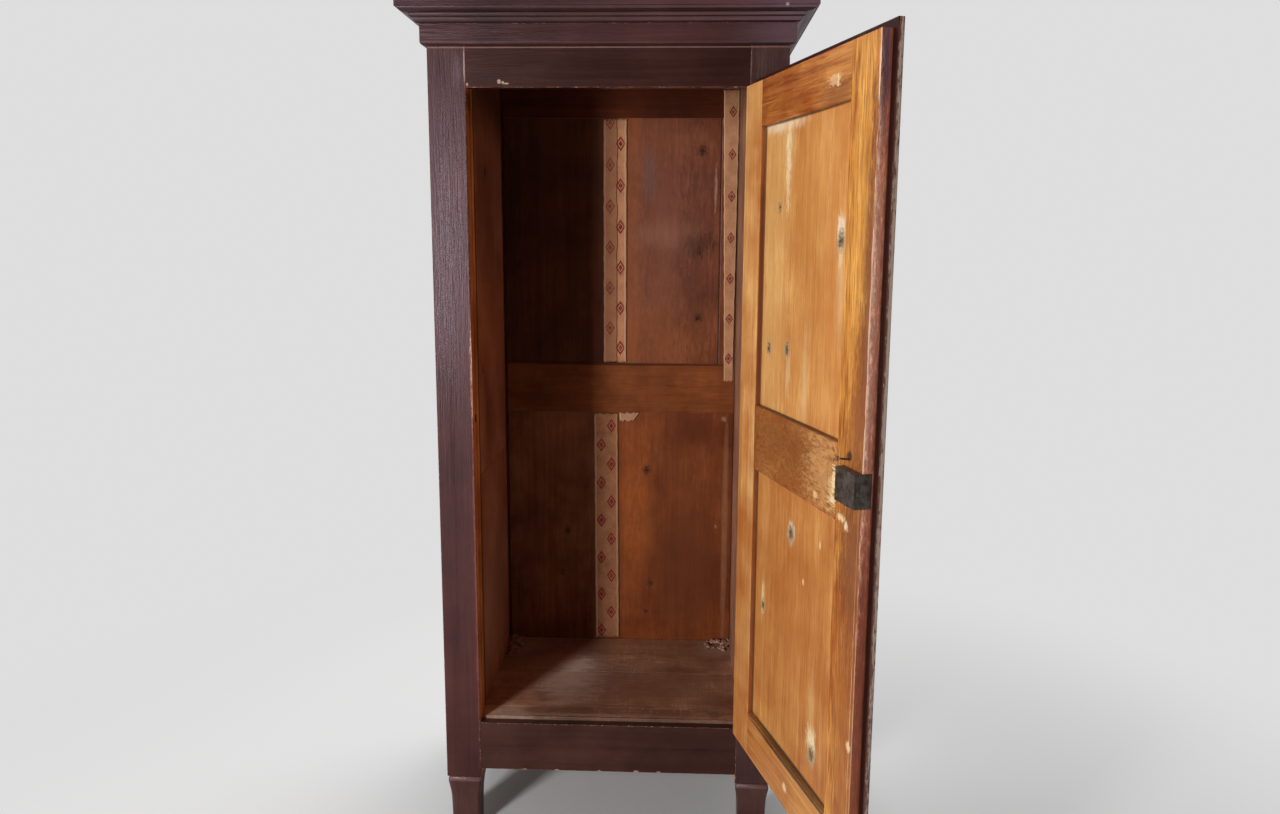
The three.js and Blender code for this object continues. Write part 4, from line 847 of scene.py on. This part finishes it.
# The parts as in the back; their marks lie on the face of the frame or of the panels
frameFace, panelFace = (1, 21, 40), (1, 12, 40)
doorParts = {
    "door_stile_hinge": ("up", (-260, 40, 0), hingeStileLook, (), (
        (246, 1050, 1.5, 700, cream, 0.4, 0.8),
        # The dark line on the rebate wall is painted shade.
        ((215.6, 15, 1050), (1.5, 5.5, 4000), "#64290f", 0.95, 0.2),
        (300, 1050, 8, 760, "#a8733c", 0.35, 1.5, 30),
        (262, 560, 60, 440, "#a8662e", 0.5, 2.4, 30, 0.9),
        (262, 1700, 60, 120, "#c07c40", 0.4, 2.4, 20, 0.9),
    )),
    "door_stile_lock": ("up", (290, 30, 0), lockStileLook, (), (
        (-262, 1450, 34, 260, "#dda04c", 0.4, 1.6, 30, 0.8),
        (-282, 1210, 26, 110, "#a8642e", 0.55, 2.4, 16, 0.8),
        (-294, 1320, 20, 300, "#7a4a26", 0.5, 4.0, 9, 0.6),
        (-300, 1290, 10, 330, "#5c3422", 0.6, 5.0, 8, 0.3),
        (-288, 1180, 26, 130, "#6e3c1a", 0.45, 7.0, 4.5, 0.1),
        (-303, 1250, 7, 300, "#8a5440", 0.5, 2.6, 12, 0.6),
        (-283, 1164, 17, 26, "#96583a", 0.6, 2.6, 9, 0.6),
        (-262, 1110, 40, 60, "#8c5428", 0.5, 4.4, 6, 0.6),
        (-262, 700, 40, 300, "#a8662f", 0.4, 2.2, 26, 0.9),
        (-284, 640, 36, 440, "#a2622e", 0.35, 4.2, 7, 0.8),
        (-282, 660, 28, 420, "#96501f", 0.5, 3.4, 14, 0.8),
        (-270, 925, 44, 100, "#6a3a1e", 0.5, 4.4, 8, 0.3),
        (-284, 890, 30, 150, "#6a361a", 0.4, 7.0, 4.5, 0.1),
        (-299, 730, 1.4, 260, "#f0c080", 0.5, 2.6, 12, 0.8),
        (-288, 620, 1.2, 190, "#6e3a1a", 0.55, 2.6, 16, 0.8),
        (-276, 800, 1.2, 150, "#6e3a1a", 0.55, 2.6, 16, 0.8),
        (-295, 470, 1.2, 140, "#7a4018", 0.5, 2.6, 16, 0.8),
        (-307, 760, 7, 340, "#7a4230", 0.6, 3.4, 6, 0.3),
        (-290, 900, 26, 90, "#8a5230", 0.5, 4.0, 6, 0.8),
        (-310, 1735, 3, 60, "#ecd0b8", 0.8, 3.0, 9),
        (-310, 1300, 2.5, 330, "#e6bc9c", 0.7, 5.0, 12),
        (-310, 620, 2.5, 330, "#dca27c", 0.5, 5.0, 12),
        (-297, 576, 7, 10, cream, 0.9, 2.4, 5),
        (-232, 978, 14, 6, "#ecd0a2", 0.8, 3.6, 4),
        (-252, 968, 7, 7, "#f0dcb8", 0.8, 3.6, 4),
        (-257, 1096, 9, 8, "#2c1810", 0.85, 1.6, 4),
    )),
    "door_top_rail": ("across", (1700, 40, 0), topRailLook, (), (
        (-150, 1714, 60, 22, "#7a4720", 0.55),
        (-140, 1738, 24, 9, "#e2b888", 0.6, 5.0, 4, 0.2),
        (-155, 1737, 3, 12, cream, 0.7, 3.0, 4),
        (60, 1755, 90, 3, "#9d6030", 0.5, 1.0),
    )),
    "door_lock_rail": ("across", (1040, 30, 0), lockRailLook, (), (
        (60, 1040, 200, 70, "#8a5628", 0.4, 3.4, 16, 0.8),
        (60, 1070, 160, 30, "#7c4a22", 0.35, 4.4, 14, 0.9),
        (-150, 1040, 60, 60, "#dcab70", 0.35, 6.4, 8, 0.2),
        (-186, 1012, 14, 26, "#e2bd84", 0.5, 4.4, 8, 0.6),
        (-196, 1036, 6, 30, "#ecd2a4", 0.75, 5.4, 4),
        (-194, 1002, 12, 8, "#ecd2a4", 0.7, 5.4, 4),
        (-170, 1046, 1.6, 30, "#8a5426", 0.6, 2.6, 9),
        (-118, 991, 10, 7, "#ecc488", 0.75, 2.4, 5),
        # The dark line along the top edge, under the panel, is painted shade.
        (-20, 1110.5, 260, 1.6, "#7c4a20", 0.7, 0.5),
    )),
    "door_bottom_rail": ("across", (330, 25, 0), lowPanelLook, (), (
        (-13, 336, 10, 9, cream, 0.9),
        (-40, 387, 260, 5, "#3a2a18", 0.9, 0.6),
    )),
    "door_panel_upper": ("up", (-60, 28, 0), upPanelLook,
                         ((-168, 1464, 12), (125, 1531, 7), (66, 1246, 10), (166, 1240, 9)), (
        (150, 1400, 66, 420, "#efc27c", 0.35, 3.2, 24, 0.8),
        (-130, 1330, 60, 240, "#c27f3e", 0.4, 1.6, 40, 0.8),
        (-30, 1500, 50, 180, "#c58844", 0.35, 1.6, 30, 0.8),
        (120, 1692, 100, 12, "#f0dab8", 0.8, 2.2, 10, 0.7),
        (84, 1650, 26, 60, "#e2bd88", 0.5, 2.0, 12, 0.8),
        (84, 1620, 11, 80, "#f8e0b2", 0.8, 4.6, 6, 0.4),
        (-166, 1480, 15, 27, "#ecdcc0", 0.95, 2.2, 7, 0.3),
        (-167, 1440, 8, 22, "#e6cc9c", 0.6, 2.6, 6),
        (-172, 1390, 14, 90, "#e9cf9c", 0.35, 2.2, 12, 0.9),
        (-28, 1200, 11, 80, cream, 0.4, 2.2, 10, 0.9),
        (60, 1200, 11, 42, cream, 0.6, 2.2, 9, 0.7),
        (20, 1560, 170, 130, "#b87636", 0.25, 4.6, 16, 0.6),
        (60, 1260, 150, 120, "#b87636", 0.25, 4.6, 16, 0.6),
        (-60, 1400, 1.2, 4000, "#a8662e", 0.5, 0.6),
        (60, 1400, 1.0, 4000, "#b5743a", 0.4, 0.6),
        # Dark lines along the recessed edges are painted shade.
        (0, 1699, 260, 4, recessShade, 0.85, 0.5),
        (0, 1111, 260, 2, recessShade, 0.8, 0.4),
        (212, 1400, 5, 4000, "#4a2412", 0.85, 0.4),
    )),
    "door_panel_lower": ("up", (40, 35, 0), lowPanelLook,
                         ((16, 876, 12), (161, 671, 9), (-119, 464, 12)), (
        (163, 690, 8, 40, "#ecd09c", 0.7, 3.0, 6),
        (-117, 492, 19, 26, "#f0dcb0", 0.9, 2.6, 7),
        (-110, 560, 8, 60, "#e6c48c", 0.45, 2.6, 9, 0.9),
        (14, 882, 18, 20, "#e2d6be", 0.8, 2.4, 7, 0.3),
        (0, 700, 180, 220, "#b06c34", 0.3, 4.6, 16, 0.6),
        (-53, 797, 4, 6, cream),
        (-126, 894, 4, 7, cream),
        (0, 394, 260, 6, "#33261a", 0.9, 0.5),
        # The dark line along the hinge side is painted shade.
        (212, 680, 5, 4000, "#4a2412", 0.85, 0.4),
    )),
}

# The paint of the outside runs round the rebates as far as the panels
paintedRebate = ((0, -20, 1050), (4000, 25, 4000), "#44231d", 1, 0.1, None, 0.05)

# Where the rim of the door begins, and the depths within which its lip and its tenons' outer cheeks lie
doorRim = {"side": 300, "top": 1785, "foot": 300, "lip": 0.6, "cheek": 3}

# Paint outside and all over the lip, rubbed paint on the rest of the rim, and pine inside.
def doorRule(centre, normal):
    s = doorRim
    if normal.y < -0.5:
        return 1
    atRim = abs(centre.x) > s["side"] or centre.z > s["top"] or centre.z < s["foot"]
    if centre.y < s["lip"] and (atRim or normal.y > 0.5):
        return 1
    return 2 if (normal.y < 0.7 and atRim) or (normal.y > 0.5 and centre.y < s["cheek"]) else 0

for node, (grain, shift, look, knots, patches) in doorParts.items():
    board = pine("shellac_pine_" + node, look, grain, shift, knots, (*patches, paintedRebate),
                 panelFace if "panel" in node else frameFace, doorFrame)
    woodPiece(node, [board, doorPaint[grain], doorEdge], easeMm["door"], doorRule, doorFrame,
              "door")
print("door ready")

# Ironwork: hinges, lock with its bolt and key plate, and the bent nail. Edges that are longer and turn
# more than this are rounded; the lock case has a rivet near each corner
ironSettings = {"longerMm": 3, "turn": 1, "rivetMm": 2.6, "fromEdgeMm": 9, "flatness": 0.5}

def ironPiece(node, place, body, material):
    s = ironSettings
    bm = copyOf(node, place)
    sharp = [e for e in bm.edges
             if e.is_manifold and e.calc_face_angle(0) > s["turn"] and e.calc_length() > s["longerMm"] * mm]
    rounded(bm, sharp, easeMm["iron"], True)
    shadeRound(bm)
    if node == "lock_case":
        inset = s["fromEdgeMm"] * mm
        (left, right), (_, inner), (low, high) = boxOf(bm)
        for x in (left + inset, right - inset):
            for z in (low + inset, high - inset):
                made = bmesh.ops.create_uvsphere(bm, u_segments=16, v_segments=8, radius=s["rivetMm"] * mm)
                bmesh.ops.scale(bm, vec=(1, s["flatness"], 1), verts=made["verts"])
                bmesh.ops.translate(bm, vec=(x, inner, z), verts=made["verts"])
                for vertex in made["verts"]:
                    for face in vertex.link_faces:
                        face.smooth = True
    bmesh.ops.transform(bm, matrix=place, verts=bm.verts)
    settle(node + "_forged", bm, body, [material], (node,))

ironCase = iron("blackened_iron_case", ironLook, caseFrame)
ironDoor = iron("blackened_iron_door", ironLook, doorFrame)
for where in ("top", "bottom"):
    ironPiece(f"hinge_{where}_case_half", caseFrame, "case", ironCase)
    ironPiece(f"hinge_{where}_door_half", doorFrame, "door", ironDoor)
for node in ("lock_case", "key_escutcheon", "bent_nail", "lock_bolt"):
    ironPiece(node, doorFrame, "bolt" if node == "lock_bolt" else "door", ironDoor)
print("ironwork ready")

# Crumbs of plaster and old wood in the rear corners of the floor
crumbSettings = {
    "count": 90, "smallMm": 3, "largeMm": 20, "fewLarge": 3, "crowding": 2.2, "rough": 0.5, "sinkMm": 0.1,
    "gapMm": 3, "rearY": 515, "squash": (1, 1.4, 0.6),
}
crumbMaterial = pine("plaster_crumbs", {**rawLook, "pale": "#e8c4ac", "mid": "#c4917a", "deep": "#96563e"},
                     "deep", (45, 60, 0))

# Crumbs that lie denser towards the corner; inward is the way from the lining to the middle.
def crumbs(name, s, cornerX, inward, seed, spreadMm):
    bm = bmesh.new()
    for index in range(s["count"]):
        bulk, across, deep, turn = (noise.cell((seed + index * 1.7, k * 3.1, 0.5)) * 0.5 + 0.5
                                    for k in (1, 2, 3, 4))
        size = (s["smallMm"] + (s["largeMm"] - s["smallMm"]) * bulk ** s["fewLarge"]) * mm
        made = bmesh.ops.create_icosphere(bm, subdivisions=1, radius=size / 2)["verts"]
        for vertex in made:
            vertex.co *= 1 + s["rough"] * noise.noise((seed + index, vertex.co.x / size, vertex.co.z / size))
        bmesh.ops.scale(bm, vec=s["squash"], verts=made)
        bmesh.ops.rotate(bm, cent=(0, 0, 0), matrix=Matrix.Rotation(turn * 6, 3, "Z"), verts=made)
        low = min(vertex.co.z for vertex in made)
        spot = Vector((cornerX + inward * (s["gapMm"] + spreadMm[0] * across ** s["crowding"]),
                       s["rearY"] - spreadMm[1] * deep ** s["crowding"], floorZ)) * mm
        bmesh.ops.translate(bm, vec=spot - Vector((0, 0, low + s["sinkMm"] * mm)), verts=made)
    bmesh.ops.transform(bm, matrix=caseFrame, verts=bm.verts)
    settle(name, bm, "case", [crumbMaterial])

crumbs("crumbs_left", crumbSettings, -321.7, 1, 2.3, (40, 130))
crumbs("crumbs_right", crumbSettings, 321.7, -1, 8.9, (66, 70))

# Floor, light and backdrop. The studio is pale behind and beside the cabinet and dim in front; the
# camera sees one even backdrop, and so do the glossy rays that look that way.
stageSettings = {
    "radius": 9, "sides": 96, "fadeFrom": 0.9, "fadeTo": 2.4, "turnFrom": -0.5, "turnTo": 1.5,
    "backdrop": "#dedede", "floor": "#d8d8d8",
}
worldSettings = {"backdrop": "#dedede", "front": 0.05, "back": 0.5, "turnFrom": -0.35, "turnTo": 0.45}

# Share of the backdrop that a ray sees; facing is 1 towards the back of the studio and 0 to the front.
def backdropShare(add, facing):
    isCamera, isGlossy, isTransmission = add("LightPath", {}, {}, (
        "Is Camera Ray", "Is Glossy Ray", "Is Transmission Ray"))
    mirrored = add("Math", "ADD", [isGlossy, isTransmission])
    mirrored = add("Math", "MULTIPLY", [mirrored, facing])
    return add("Math", "MAXIMUM", [isCamera, mirrored])

def makeStage(s):
    bm = bmesh.new()
    bmesh.ops.create_circle(bm, cap_ends=True, radius=s["radius"], segments=s["sides"])
    mesh = bpy.data.meshes.new("studio_floor")
    bm.to_mesh(mesh)
    bm.free()
    floor = bpy.data.objects.new("studio_floor", mesh)
    bpy.context.scene.collection.objects.link(floor)
    material = bpy.data.materials.new("studio_floor")
    add = freshNodes(material)
    point = add("TexCoord", {}, {}, "Object")
    away = add("VectorMath", "LENGTH", [point], "Value")
    fade = add("MapRange", eased, [away, s["fadeFrom"], s["fadeTo"]])
    depth = add("SeparateXYZ", {}, [point], "Y")
    facing = add("MapRange", eased, [depth, s["turnFrom"], s["turnTo"]])
    share = add("Math", "MULTIPLY", [fade, backdropShare(add, facing)])
    lit = add("BsdfDiffuse", {}, {"Color": s["floor"]})
    glow = add("Emission", {}, {"Color": s["backdrop"], "Strength": 1})
    add("OutputMaterial", {}, [add("MixShader", {}, [share, lit, glow])])
    mesh.materials.append(material)

def makeWorld(s):
    world = bpy.data.worlds.new("studio")
    bpy.context.scene.world = world
    add = freshNodes(world)
    direction = add("TexCoord", {}, {}, "Generated")
    direction = add("SeparateXYZ", {}, [direction], "Y")
    facing = add("MapRange", eased, [direction, s["turnFrom"], s["turnTo"]])
    amount = add("MapRange", {}, {"Value": facing, "To Min": s["front"], "To Max": s["back"]})
    room = add("Background", {}, {"Color": (1, 1, 1, 1), "Strength": amount})
    backdrop = add("Background", {}, {"Color": s["backdrop"], "Strength": 1})
    add("OutputWorld", {}, [add("MixShader", {}, [backdropShare(add, facing), room, backdrop])])

makeStage(stageSettings)
makeWorld(worldSettings)

# Softboxes: the key looks past the left post into the cabinet, the other lights the ground behind
lights = {
    "key": {"place": (-2.03, -3.13, 1.45), "aim": (0.05, 0.25, 1.1), "size": (0.55, 1.3), "watts": 135},
    "overhead": {"place": (-0.3, 2.2, 4.2), "aim": (-0.2, 0.9, 0), "size": (3.2, 2.4), "watts": 150},
}
for name, s in lights.items():
    data = bpy.data.lights.new(name, "AREA")
    data.shape = "RECTANGLE"
    data.size, data.size_y = s["size"]
    data.energy = s["watts"]
    lamp = bpy.data.objects.new(name, data)
    lamp.location = s["place"]
    lamp.rotation_euler = (Vector(s["aim"]) - Vector(s["place"])).to_track_quat("-Z", "Y").to_euler()
    bpy.context.scene.collection.objects.link(lamp)
print("stage and light ready")
